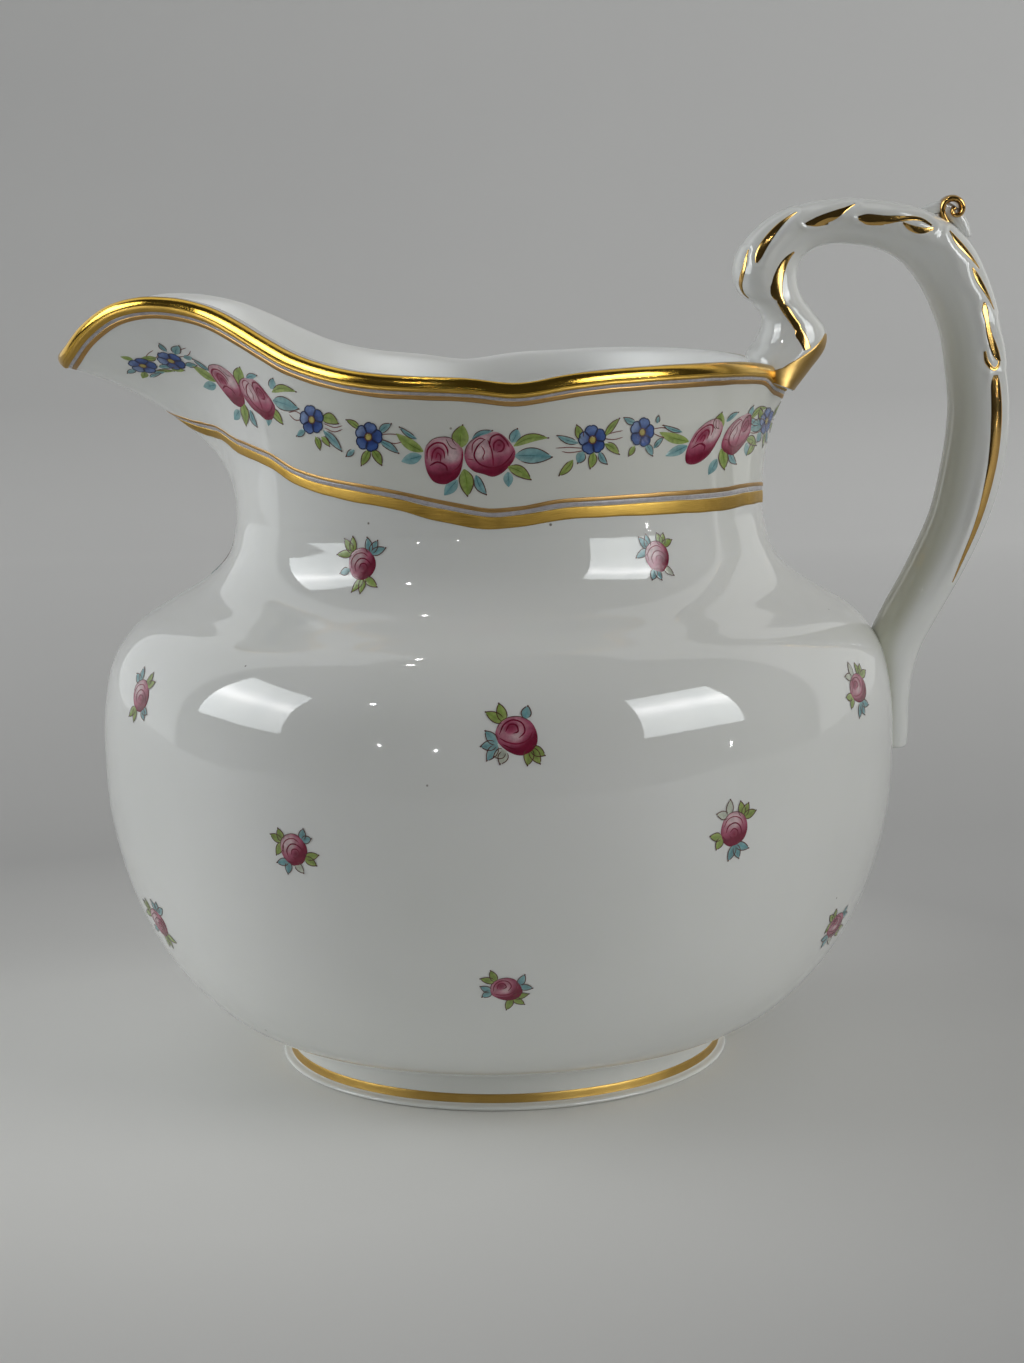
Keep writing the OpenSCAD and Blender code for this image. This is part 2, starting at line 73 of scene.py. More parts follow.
# angle from the spout tip, radius, height of the top of the lip
LIP = [(0, 52.4, 89.6), (4.5, 51.5, 90.6), (8.5, 49.4, 93.2), (12.5, 46.4, 95.4), (16, 43, 96.2),
       (19.5, 39.7, 95.9), (24, 37, 94.9), (30, 35.2, 93.3), (38, 34.3, 91.4), (46, 34.1, 89.7),
       (54, 33.8, 88.4), (64, 33.8, 87.4), (77, 34, 86.9), (90, 34.3, 86.9), (104, 34.3, 87),
       (116, 34.2, 87.3), (128, 34.1, 87.4), (148, 33.9, 87.2), (160, 34.2, 86.8), (171, 35.4, 86),
       (180, 36.6, 85.2)]
# by the angle from the spout tip: the slope of the neck at the lip, and how far its curve is pulled
SLOPE = [(0, 12), (8, 33), (16, 58), (25, 66), (40, 68), (60, 68), (180, 66)]
PULL_LOW = [(0, 12.5), (16, 17.5), (30, 11), (60, 8), (180, 8)]
PULL_TOP = [(0, 4.2), (10, 9), (20, 6), (40, 5), (60, 4.5), (180, 4.5)]
LOBE_DEPTH, GROOVE = 0.036, 0.2025   # depth of the grooves between the lobes, and how soft they are
DIP_MM, DIPS = 0.85, [(275, 8), (96, 9)]   # small dips in the lip at each side: angle and width


def hermite(tab, col, x):
    """Smooth value of a column of a table at x, its first column."""
    xs = np.array([p[0] for p in tab], float)
    ys = np.array([p[col] for p in tab], float)
    m = np.zeros_like(ys)
    m[1:-1] = (ys[2:] - ys[:-2]) / (xs[2:] - xs[:-2])
    x = np.clip(np.asarray(x, float), xs[0], xs[-1])
    i = np.clip(np.searchsorted(xs, x, side="right") - 1, 0, len(xs) - 2)
    h = xs[i + 1] - xs[i]
    t = (x - xs[i]) / h
    return ((2 * t**3 - 3 * t**2 + 1) * ys[i] + (t**3 - 2 * t**2 + t) * h * m[i]
            + (-2 * t**3 + 3 * t**2) * ys[i + 1] + (t**3 - t**2) * h * m[i + 1])


def catmull(a, b, c, d, t):
    """Smooth step from b to c, with a before them and d after them."""
    return 0.5 * (2 * b + (c - a) * t + (2 * a - 5 * b + 4 * c - d) * t**2 + (3 * b - a - 3 * c + d) * t**3)


def through(points, u):
    """Smooth curve through a list of points, u counting the points."""
    p = np.array(points, float)
    e = np.vstack([2 * p[0] - p[1], p, 2 * p[-1] - p[-2]])
    u = np.clip(np.asarray(u, float), 0, len(p) - 1)
    i = np.clip(np.floor(u).astype(int), 0, len(p) - 2)
    return catmull(e[i], e[i + 1], e[i + 2], e[i + 3], (u - i)[..., None])


def ramp(a, b, x):
    """Smooth rise from 0 at a to 1 at b."""
    t = np.clip((x - a) / (b - a), 0, 1)
    return t * t * (3 - 2 * t)


def power(x, p):
    """x to the power p with its sign kept, which squares off a round section."""
    return np.sign(x) * np.abs(x)**p


def unit(a):
    return a / np.linalg.norm(a, axis=-1, keepdims=True)


def lobe(th, depth):
    """Six lobes round the body, two to each wave of the cosine."""
    return 1 - depth * (1 - np.sqrt(np.cos(3 * th)**2 * (1 - GROOVE) + GROOVE))


def groove_depth(z):
    """Depth of the grooves, which fade out at the foot and are shallower at the neck."""
    return LOBE_DEPTH * ramp(5, 24, z) * (1 - 0.25 * ramp(50, 62, z))


def from_tip(th):
    """Degrees from the spout tip, either way."""
    return np.abs(np.degrees(th) % 360 - 180)


def bezier(t, a, b, c, d):
    k = 1 - t
    return k**3 * a + 3 * k * k * t * b + 3 * k * t * t * c + t**3 * d


def skin(th, v):
    """Outer surface: th radians round the axis, v 0 at the foot, 1 at the neck, 2 at the lip."""
    th, v = np.broadcast_arrays(np.asarray(th, float), np.asarray(v, float))
    deg, d = np.degrees(th) % 360, from_tip(th)
    q = through(BELLY, np.clip(v, 0, 1) * (len(BELLY) - 1))
    r_belly, z_belly = q[..., 0] * lobe(th, groove_depth(q[..., 1])), q[..., 1]
    # from the neck to the lip: a curve that leaves the neck upright and reaches the lip at its slope
    r0, z0 = NECK_R * lobe(th, groove_depth(NECK_Z)), NECK_Z
    slope = np.radians(hermite(SLOPE, 1, d))
    dip = DIP_MM * sum(np.exp(-((deg - middle) / width)**2) for middle, width in DIPS)
    r3 = hermite(LIP, 1, d) * lobe(th, 0.012 * ramp(35, 60, d) * (1 - ramp(150, 170, d)))
    z3 = hermite(LIP, 2, d) - dip - WALL / 2 * (1 + np.cos(slope))
    pull = hermite(PULL_TOP, 1, d)
    t = np.clip(v - 1, 0, 1)
    r_neck = bezier(t, r0, r0, r3 - pull * np.cos(slope), r3)
    z_neck = bezier(t, z0, z0 + hermite(PULL_LOW, 1, d), z3 - pull * np.sin(slope), z3)
    r, z = np.where(v <= 1, r_belly, r_neck), np.where(v <= 1, z_belly, z_neck)
    # drawn in a little under the spout
    r = r - 1.3 * np.exp(-(d / 24)**2) * ramp(57, 66, z) * (1 - ramp(74, 84, z))
    return np.stack([r * np.cos(th), r * np.sin(th), z], -1)


def outward(th, v, e=1e-3):
    """Normal of the outer surface."""
    v = np.asarray(v, float)
    return unit(np.cross(skin(th + e, v) - skin(th - e, v),
                         skin(th, np.minimum(v + e, 2)) - skin(th, np.maximum(v - e, 0))))


def edge(th, w, h=0.0):
    """Rounded edge of the lip: w radians, 0 outside to pi inside, h above the glaze."""
    th, w, h = np.broadcast_arrays(*(np.asarray(a, float) for a in (th, w, h)))
    two = np.full(th.shape, 2.0)
    p, n = skin(th, two), outward(th, two)
    b = unit(p - skin(th, two - 1e-3))
    way = np.cos(w)[..., None] * n + np.sin(w)[..., None] * b
    return p - n * WALL / 2 + (WALL / 2 + h)[..., None] * way


# v for a distance s below the top of the lip, on a grid that is read back smoothly
STEP_S, STEP_TH = 0.25, math.radians(0.5)
S_GRID = np.arange(0, 101, STEP_S)
TH_GRID = np.radians(np.arange(0, 361, 0.5))
ROUND_MM = WALL * math.pi / 4   # length of the round of the lip, from its top to the outside


def v_table():
    vv = np.concatenate([np.linspace(2, 1, 161), np.linspace(1, 0, 241)[1:]])
    steps = np.linalg.norm(np.diff(skin(TH_GRID[:, None], vv[None, :]), axis=1), axis=2)
    arc = np.concatenate([np.zeros((len(TH_GRID), 1)), np.cumsum(steps, 1)], 1) + ROUND_MM
    return np.array([np.interp(S_GRID, a, vv) for a in arc])


V_TABLE = v_table()


def v_below(th, s):
    """v at a distance s below the top of the lip, measured along the surface."""
    th, s = np.broadcast_arrays(np.asarray(th, float) % (2 * math.pi), np.asarray(s, float))
    a, b = th / STEP_TH, np.clip(s / STEP_S, 0, len(S_GRID) - 1.001)
    i, j = np.minimum(a.astype(int), len(TH_GRID) - 2), b.astype(int)
    x, y = a - i, b - j
    t = V_TABLE
    return (t[i, j] * (1 - x) * (1 - y) + t[i + 1, j] * x * (1 - y)
            + t[i, j + 1] * (1 - x) * y + t[i + 1, j + 1] * x * y)


def below(th, s, h=0.0):
    """Point s mm below the top of the lip, h above the glaze."""
    th, s, h = np.broadcast_arrays(*(np.asarray(a, float) for a in (th, s, h)))
    top = edge(th, math.pi / 2 - s / (WALL / 2), h)
    v = v_below(th, s)
    low = skin(th, v) + h[..., None] * outward(th, v)
    return np.where((s < ROUND_MM)[..., None], top, low)


# lower border: angle from the spout tip, distance of its top below the lip, height of the whole border
BORDER = [(0, 15.2, 3.2), (4, 17, 3), (6.5, 18.5, 2.6), (10, 19.6, 2.2), (15, 19.3, 2), (21.5, 17.5, 1.9),
          (27.5, 15.9, 1.8), (32.5, 14.9, 1.75), (38, 14.1, 1.75), (45, 13.85, 1.9),
          (52, 13.45, 2), (62, 13.05, 2.15), (71, 13.35, 2.15), (78, 14, 2.4), (85, 14.65, 2.4),
          (89, 14.8, 2.3),
          (95, 14.3, 2.25), (101, 14.15, 2.35), (112, 14.6, 2.4), (126, 14.8, 2.55), (146, 15, 2.75),
          (158, 14.8, 2.65), (169, 14.6, 2.5), (180, 14.5, 2.5)]


def border(th, f):
    """Distance below the lip of a place in the lower border, f 0 at its top and 1 at its bottom."""
    return hermite(BORDER, 1, from_tip(th)) + f * hermite(BORDER, 2, from_tip(th))


# ------------------------------------------------------------------ meshes
def mesh_object(name, verts, faces, material, colours=None, uv=None):
    """Smooth mesh. verts in mm about the body's axis; faces is a list of arrays with 3 or 4 columns."""
    verts = np.asarray(verts, float).reshape(-1, 3)
    faces = [np.asarray(f, np.int32) for f in faces if len(f)]
    loops = np.concatenate([f.ravel() for f in faces])
    sizes = np.concatenate([np.full(len(f), f.shape[1], np.int32) for f in faces])
    me = bpy.data.meshes.new(name)
    me.vertices.add(len(verts))
    me.vertices.foreach_set("co", ((verts + (MID_X, 0, 0)) / 1000).astype(np.float32).ravel())
    me.loops.add(len(loops))
    me.loops.foreach_set("vertex_index", loops)
    me.polygons.add(len(sizes))
    me.polygons.foreach_set("loop_start", np.concatenate([[0], np.cumsum(sizes)[:-1]]).astype(np.int32))
    me.update(calc_edges=True)
    me.validate()
    me.polygons.foreach_set("use_smooth", np.ones(len(me.polygons), bool))
    if colours is not None:
        rgba = np.ones((len(verts), 4), np.float32)
        rgba[:, :3] = colours
        paint = me.color_attributes.new(name="paint", type="FLOAT_COLOR", domain="POINT")
        paint.data.foreach_set("color", rgba.ravel())
    if uv is not None:
        index = np.zeros(len(me.loops), np.int32)
        me.loops.foreach_get("vertex_index", index)
        me.uv_layers.new(name="along").data.foreach_set("uv", np.asarray(uv, np.float32)[index].ravel())
    me.materials.append(material)
    ob = bpy.data.objects.new(name, me)
    bpy.context.scene.collection.objects.link(ob)
    return ob


def piece(name, verts, faces, material, slot, colours=None, uv=None):
    """Mesh that stands for the CAD node of its own name in small letters."""
    ob = mesh_object(name, verts, faces, material, colours, uv)
    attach(ob, "root")
    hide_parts(name.lower())
    return ob


def second_material(ob, material, faces):
    """faces is a mask over all faces of the mesh."""
    ob.data.materials.append(material)
    ob.data.polygons.foreach_set("material_index", np.asarray(faces, np.int32))


def grid_faces(rows, cols, wrap_cols=True, wrap_rows=False, flip=False):
    r = np.arange(rows if wrap_rows else rows - 1)[:, None]
    c = np.arange(cols if wrap_cols else cols - 1)[None, :]
    r2, c2 = (r + 1) % rows, (c + 1) % cols
    f = np.stack([(a * cols + b).ravel() for a, b in ((r, c), (r, c2), (r2, c2), (r2, c))], 1)
    return f[:, ::-1] if flip else f


def fan(tip, first, n, flip=False):
    """Triangles from a tip to a closed ring of n vertices."""
    i, j = np.arange(n), (np.arange(n) + 1) % n
    if flip:
        i, j = j, i
    return np.stack([np.full(n, tip), first + j, first + i], 1)


def pairs(a, b):
    """Two numbers for each point of a grid, as a mapping."""
    return np.stack(np.broadcast_arrays(a, b), -1).reshape(-1, 2)


def lengths(p):
    """Distance along a line of points."""
    return np.concatenate([[0], np.cumsum(np.linalg.norm(np.diff(p, axis=0), axis=1))])


# ------------------------------------------------------------------ materials
def tree(name):
    m = bpy.data.materials.new(name)
    m.use_nodes = True
    return m, m.node_tree, m.node_tree.nodes["Principled BSDF"]


def put(nt, socket, value):
    """Link a socket, or set its number, vector or colour."""
    if isinstance(value, bpy.types.NodeSocket):
        nt.links.new(value, socket)
    else:
        socket.default_value = (*value, 1) if socket.type == "RGBA" else value


def put_all(nt, n, **values):
    """Fill sockets by name, with _ for a space."""
    for k, v in values.items():
        put(nt, n.inputs[k.replace("_", " ")], v)


def node(nt, kind, **values):
    """New node with its properties and sockets set or linked."""
    n = nt.nodes.new(kind)
    for k, v in values.items():
        if hasattr(n, k):
            setattr(n, k, v)
        else:
            put_all(nt, n, **{k: v})
    return n


def shades(nt, value, *stops):
    """Colour ramp. Each stop is a place and a colour, or one number for a grey."""
    n = node(nt, "ShaderNodeValToRGB", Fac=value)
    elements = n.color_ramp.elements
    while len(elements) < len(stops):
        elements.new(0.5)
    for e, (place, colour) in zip(elements, stops):
        e.position = place
        e.color = (*colour, 1) if isinstance(colour, tuple) else (colour, colour, colour, 1)
    return n.outputs["Color"]


def coords(nt, kind="Object", scale=(1, 1, 1), location=(0, 0, 0)):
    where = node(nt, "ShaderNodeTexCoord").outputs[kind]
    return node(nt, "ShaderNodeMapping", Vector=where, Scale=scale, Location=location).outputs["Vector"]


def split(nt, vec):
    return node(nt, "ShaderNodeSeparateXYZ", Vector=vec).outputs


def noise(nt, vec, scale, detail=4.0, rough=0.5):
    n = node(nt, "ShaderNodeTexNoise", Vector=vec, Scale=scale, Detail=detail, Roughness=rough)
    return n.outputs["Fac"]


def bump(nt, height, strength, distance):
    return node(nt, "ShaderNodeBump", Height=height, Strength=strength, Distance=distance).outputs["Normal"]


def ranged(nt, value, lo, hi, a=0.3, b=0.7):
    """lo where the value is a, hi where it is b."""
    n = node(nt, "ShaderNodeMapRange", Value=value, From_Min=a, From_Max=b, To_Min=lo, To_Max=hi)
    return n.outputs["Result"]


def mix(nt, fac, a, b, blend="MIX"):
    """Mix of two colours."""
    n = node(nt, "ShaderNodeMix", data_type="RGBA", blend_type=blend)
    for i, value in zip((0, 6, 7), (fac, a, b)):
        put(nt, n.inputs[i], value)
    return n.outputs[2]


def mix_numbers(nt, fac, a, b):
    n = node(nt, "ShaderNodeMix", data_type="FLOAT")
    for i, value in zip((0, 2, 3), (fac, a, b)):
        put(nt, n.inputs[i], value)
    return n.outputs[0]


def painted(nt):
    """Colour laid down in the mesh."""
    return node(nt, "ShaderNodeVertexColor", layer_name="paint").outputs["Color"]


def porcelain():
    """Clear gloss glaze over white paste: faint cloudiness, a rippled glaze and a few iron specks.
    In the mesh colour, red is a duller, whiter glaze and green is painted shade, warmer and darker."""
    m, nt, bs = tree("Porcelain")
    vec = coords(nt)
    tone = shades(nt, noise(nt, vec, 38, 3), (0.3, (0.775, 0.79, 0.765)), (0.7, (0.815, 0.825, 0.805)))
    spots = node(nt, "ShaderNodeTexVoronoi", Vector=vec, Scale=150).outputs["Distance"]
    parts = node(nt, "ShaderNodeSeparateColor", Color=painted(nt)).outputs
    base = mix(nt, shades(nt, spots, (0.018, 1), (0.03, 0)), tone, (0.22, 0.2, 0.17))
    # painted shade: where the mesh colour is green, the glaze is darkened and warmed
    base = mix(nt, parts["Green"], base, (0.56, 0.565, 0.47))
    base = mix(nt, parts["Red"], base, (0.90, 0.91, 0.89))
    gloss = ranged(nt, noise(nt, vec, 220, 5), 0.025, 0.05)
    put_all(nt, bs, Base_Color=base, Roughness=mix_numbers(nt, parts["Red"], gloss, 0.42),
            Normal=bump(nt, noise(nt, vec, 70, 2), 0.12, 0.0006), IOR=1.52, Subsurface_Weight=0.12,
            Subsurface_Radius=(0.003, 0.003, 0.0025), Subsurface_Scale=1.0)
    return m


def gilding(name, base, dark, rough, streak, worn):
    """Fired gold: brushed along its length, darker where it is thin, rubbed in places."""
    m, nt, bs = tree(name)
    lines = noise(nt, coords(nt, "UV", (0.12, 7.0, 1)), 3.0, 6, 0.6)
    vec = coords(nt)
    wear, blot = noise(nt, vec, 420, 6, 0.65), noise(nt, vec, 130, 3)
    colour = shades(nt, mix_numbers(nt, streak, blot, lines), (0.30, dark), (0.62, base))
    rubbed = shades(nt, wear, (0.60, 0), (0.72, worn))
    grain = mix_numbers(nt, 0.5, wear, lines)
    put_all(nt, bs, Base_Color=mix(nt, rubbed, colour, dark), Metallic=1.0,
            Roughness=ranged(nt, grain, rough * 0.7, rough * 1.4), Normal=bump(nt, grain, 0.25, 0.00006))
    return m


def enamel(name, rough, shade):
    """Hand painted overglaze enamel: the brush colours are in the mesh, the pooling and grain here."""
    m, nt, bs = tree(name)
    vec = coords(nt)
    pool = noise(nt, vec, 1500, 4, 0.6)
    depth = shades(nt, pool, (0.32, 1 - shade), (0.66, 1.12))
    put_all(nt, bs, Base_Color=mix(nt, 1.0, painted(nt), depth, "MULTIPLY"),
            Roughness=ranged(nt, noise(nt, vec, 900, 3), rough * 0.6, rough * 1.5),
            Normal=bump(nt, pool, 0.3, 0.00004), IOR=1.5)
    return m


def foot_paste():
    """The same glaze, with bare paste where the ring stands."""
    m, nt, bs = tree("Foot_porcelain")
    vec = coords(nt)
    bare = shades(nt, ranged(nt, split(nt, vec)["Z"], 0.0, 1.0, 0.00003, 0.00016), (0.0, 1), (1.0, 0))
    tone = shades(nt, noise(nt, vec, 60, 4), (0.3, (0.77, 0.785, 0.755)), (0.7, (0.81, 0.82, 0.795)))
    raw = shades(nt, noise(nt, vec, 900, 6, 0.7), (0.35, (0.50, 0.44, 0.37)), (0.65, (0.66, 0.60, 0.53)))
    gloss = ranged(nt, noise(nt, vec, 300, 4), 0.05, 0.1)
    put_all(nt, bs, Base_Color=mix(nt, bare, tone, raw), Roughness=mix_numbers(nt, bare, gloss, 0.75),
            Normal=bump(nt, noise(nt, vec, 90, 3), 0.15, 0.0004))
    return m


PORCELAIN = porcelain()
FOOT_PASTE = foot_paste()
GOLD_LIP = gilding("Burnished_gold", (0.80, 0.505, 0.09), (0.50, 0.28, 0.035), 0.13, 0.6, 0.35)
GOLD_BAND = gilding("Brushed_gold", (0.56, 0.36, 0.085), (0.32, 0.185, 0.03), 0.48, 0.8, 0.5)
GOLD_LINE = gilding("Thin_gold", (0.52, 0.32, 0.12), (0.32, 0.18, 0.06), 0.42, 0.7, 0.4)
GOLD_HANDLE = gilding("Mirror_gold", (0.72, 0.46, 0.15), (0.44, 0.25, 0.07), 0.12, 0.4, 0.3)
GOLD_MATT = gilding("Matt_gold", (0.46, 0.305, 0.11), (0.31, 0.185, 0.05), 0.42, 0.6, 0.3)
GOLD_FOOT = gilding("Foot_gold", (0.54, 0.35, 0.10), (0.34, 0.20, 0.045), 0.42, 0.6, 0.35)
LILAC = enamel("Lilac_enamel", 0.2, 0.15)
ROSE = enamel("Rose_enamel", 0.15, 0.25)
BLUE = enamel("Blue_enamel", 0.15, 0.30)
GREEN = enamel("Green_enamel", 0.17, 0.30)
TURQUOISE = enamel("Turquoise_enamel", 0.17, 0.28)

# ------------------------------------------------------------------ body
# columns round the body, closer together at the spout
HALF = np.concatenate([np.arange(0, 26, 0.5), np.arange(26.5, 179.6, 1.25), [180]])
TURN = np.radians(np.concatenate([180 + HALF, 540 - HALF[-2:0:-1]]))
N_TURN = len(TURN)


def make_body():
    v_rows = np.concatenate([np.linspace(0, 1, 86), np.linspace(1, 2, 48)[1:]])
    rows = [skin(TURN, v) for v in v_rows] + [edge(TURN, w) for w in np.linspace(0, math.pi, 13)[1:-1]]
    n_out = len(rows)
    for v in np.concatenate([np.linspace(2, 1, 32), np.linspace(1, 0.07, 44)[1:]]):
        rows.append(skin(TURN, v) - WALL * outward(TURN, v))
    r, z = np.hypot(rows[-1][:, 0], rows[-1][:, 1]), rows[-1][:, 2]
    for k in np.linspace(1, 0.02, 9)[1:]:
        rows.append(np.stack([r * k * np.cos(TURN), r * k * np.sin(TURN),
                              FLOOR_Z + (z - FLOOR_Z) * ramp(0.75, 1.0, k)], -1))
    p = np.vstack(rows + [[0, 0, FLOOR_Z]])
    faces = [grid_faces(len(rows), N_TURN), fan(len(p) - 1, len(p) - 1 - N_TURN, N_TURN, True)]
    tint = np.zeros((len(p), 3))
    tint[(n_out - 3) * N_TURN:, 0] = 1   # the inside has a duller glaze
    # painted shade: the band between the borders is painted slightly darker and warmer, fading out towards
    # the spout
    v_border = v_below(TURN, border(TURN, 0.5))
    painted_band_shade = 0.34 * ramp(22, 70, from_tip(TURN)) * ramp(v_border - 0.03, v_border + 0.03, v_rows[:, None])
    tint[:painted_band_shade.size, 1] = painted_band_shade.ravel()
    piece("Jug_body", p, faces, PORCELAIN, "porcelain", tint)


def lathe(name, profile, material, slot, closed=False):
    """Piece turned from a profile of radius and height. An open one is mapped for gilding."""
    th = np.radians(np.arange(360))
    p = np.array(profile, float)
    rows = np.stack(np.broadcast_arrays(p[:, :1] * np.cos(th), p[:, :1] * np.sin(th), p[:, 1:]), -1)
    uv = None if closed else pairs(th * p[0, 0], lengths(p)[:, None])
    piece(name, rows, [grid_faces(len(p), len(th), True, closed)], material, slot, uv=uv)


# turned footring with its flange, then the glazed hollow inside
FOOT = [(24.5, 0.02), (25.0, 0.0), (26.4, 0.0), (27.7, 0.0), (28.0, 0.03), (28.2, 0.12), (28.3, 0.28),
        (28.25, 0.43), (28.1, 0.54), (27.9, 0.6), (27.62, 0.64), (27.47, 0.7), (27.37, 0.82), (27.32, 1.05),
        (27.26, 1.6), (27.15, 2.4), (27.08, 3.3), (27.1, 4.0), (27.22, 4.35), (27.3, 4.5), (27.27, 4.62),
        (27.12, 4.75), (26.6, 4.9), (24.0, 5.0), (12.0, 5.25), (2.0, 5.35), (0.4, 5.35), (0.4, 4.85),
        (6.0, 4.84), (14.0, 4.75), (20.0, 4.6), (23.2, 4.35), (24.2, 3.9), (24.55, 3.1), (24.6, 1.6),
        (24.6, 0.5), (24.62, 0.2), (24.75, 0.04)]
FOOT_BAND = [(27.28, 0.78), (27.42, 0.80), (27.40, 0.86), (27.375, 1.0), (27.36, 1.2), (27.32, 1.5),
             (27.29, 1.78), (27.25, 1.84), (27.15, 1.86)]
make_body()
lathe("Foot_ring", FOOT, FOOT_PASTE, "porcelain", True)
lathe("Gilt_foot_band", FOOT_BAND, GOLD_FOOT, "burnished_gold")

# ------------------------------------------------------------------ gold and lilac bands
# unsteadiness: waves round the body and their phase
WOBBLE = [(3, 0.4), (7, 1.9), (11, 4.0), (17, 2.2), (29, 5.1), (43, 0.9)]
LILAC_TINT = (0.44, 0.42, 0.445)
LIP_R = 34   # turns an angle round the lip into mm
SUNK = -0.03   # the edges of a layer lie just under the glaze


def wavy(th, amount, seed):
    """Unsteady edge of a hand-drawn line."""
    waves = [np.sin(k * th + f * (seed + 1) * 1.7) / (1 + 0.15 * i) for i, (k, f) in enumerate(WOBBLE)]
    return amount * sum(waves) / 2.4


def lip_line(th, more):
    """Lower edge of the gold of the lip and what lies below it; it dips below the handle."""
    d = from_tip(th)
    return 2.2 - 0.25 * ramp(25, 60, d) + more + 0.9 * ramp(162, 172, d)


def band(name, line, top, bottom, thick, material, slot, seed, shake_top, shake_bottom, rows):
    """Painted line between two places of line(), a distance below the lip."""
    s0 = line(TURN, top) + wavy(TURN, shake_top, seed)
    s1 = line(TURN, bottom) + wavy(TURN, shake_bottom, seed + 3)
    steps = [(1 - k, thick * (0.55 + 0.45 * math.sin(math.pi * k))) for k in np.arange(rows) / (rows - 1)]
    pts, uvs = [], []
    for k, lift in [(1.0, SUNK)] + steps + [(0.0, SUNK)]:
        s = s0 * (1 - k) + s1 * k
        pts.append(below(TURN, s, lift))
        uvs.append(pairs(TURN * LIP_R, s))
    tint = np.tile(LILAC_TINT, (len(pts) * N_TURN, 1)) if material == LILAC else None
    piece(name, np.concatenate(pts), [grid_faces(len(pts), N_TURN)], material, slot, tint,
          np.concatenate(uvs))


def make_gilt_lip():
    """Gold over the edge of the lip, with a matt strip along its lower side, wide at the spout: a raised
    strip whose duller gold is a painted reflection of the pale floor.
    """
    low = lip_line(TURN, 0.0) + wavy(TURN, 0.05, 2)
    strip = low * (0.62 + 0.20 * ramp(12, 50, from_tip(TURN)))
    n_reflection_rows = 9
    rows = [(low, SUNK)]
    for k in np.arange(n_reflection_rows) / (n_reflection_rows - 1):
        rows.append((low + (strip - low) * k, 0.03 + 0.10 * math.sin(math.pi * k)))
    rows += [(strip * k, 0.07) for k in np.linspace(0.95, 0.04, 18)]
    pts = [below(TURN, s, lift) for s, lift in rows]
    uvs = [pairs(TURN * LIP_R, s) for s, lift in rows]
    top = 90 + 7 * ramp(165, 175, from_tip(TURN)) + wavy(TURN, 2.5, 5)
    for lift in (0.03, SUNK):
        pts.append(edge(TURN, np.radians(top + 4 - 60 * (lift - 0.03)), lift))
        uvs.append(pairs(TURN * LIP_R, -0.2))
    faces = grid_faces(len(pts), N_TURN)
    ob = piece("Gilt_lip", np.concatenate(pts), [faces], GOLD_LIP, "burnished_gold", uv=np.concatenate(uvs))
    # painted reflection: the matt strip takes the duller gold
    second_material(ob, GOLD_BAND, np.arange(len(faces)) < n_reflection_rows * N_TURN)


# name, line and its places, thickness, material, slot, seed, unsteadiness of both edges, rows
BANDS = [("Lilac_lip_line", lip_line, 0.05, 0.38, 0.035, LILAC, "lilac_enamel", 1, 0.02, 0.03, 5),
         ("Gilt_lip_line", lip_line, 0.42, 0.98, 0.05, GOLD_LINE, "burnished_gold", 2, 0.03, 0.06, 5),
         ("Gilt_border_line", border, 0.0, 0.19, 0.05, GOLD_LINE, "burnished_gold", 4, 0.03, 0.03, 5),
         ("Lilac_border_line", border, 0.215, 0.39, 0.035, LILAC, "lilac_enamel", 5, 0.03, 0.03, 5),
         ("Gilt_border_band", border, 0.42, 1.0, 0.07, GOLD_BAND, "burnished_gold", 6, 0.04, 0.06, 8)]
make_gilt_lip()
for row in BANDS:
    band(*row)

# ------------------------------------------------------------------ handle
# stations down the handle: x and z of its outer edge, x and z of its inner edge, half width
HANDLE = [(33, 84.4, 36.9, 82.8, 8), (31.4, 87, 39, 85.3, 7.2), (32.6, 89, 40.9, 87.9, 6.4),
          (33.4, 91.3, 41, 90.2, 5.8), (32.3, 93.4, 39.5, 92.4, 5.3), (30.5, 94.9, 38.2, 94.2, 5),
          (30, 97.2, 37.6, 96.2, 4.8), (30.8, 99.8, 37.8, 98, 4.6), (32.6, 102, 38.6, 99.2, 4.5),
          (35.4, 104, 40, 100.1, 4.4), (39.4, 105.3, 42, 100.5, 4.3), (43.8, 105.6, 44.4, 100.4, 4.3),
          (48.4, 105.2, 47.2, 99.9, 4.3), (52.6, 104.2, 49.6, 98.8, 4.3), (55.8, 102.6, 51.4, 97.2, 4.3),
          (58.6, 99.8, 53, 94.9, 4.3), (60.6, 95.8, 54.3, 92.2, 4.3), (62, 91.2, 55.4, 89, 4.3),
          (62.9, 85.8, 56, 85, 4.3), (63.3, 80.4, 56.4, 80.6, 4.3), (63, 75, 56.1, 76.2, 4.2),
          (62.1, 70.4, 55.3, 71.6, 4.2), (60.7, 66, 54.2, 67.2, 4.1), (58.9, 61.6, 52.5, 63.2, 4.1),
          (56.8, 57.4, 50.5, 59.2, 4), (54.8, 53.8, 48.4, 55.4, 4), (53.1, 50.6, 46.8, 51.6, 3.9),
          (52, 47.2, 47.3, 47.4, 3.8), (51.6, 43.6, 47.6, 43.6, 3.6), (51.5, 40.2, 47.6, 40.2, 3.3),
          (51.4, 38.4, 47.6, 38.4, 3)]
U_MAX = len(HANDLE) - 1
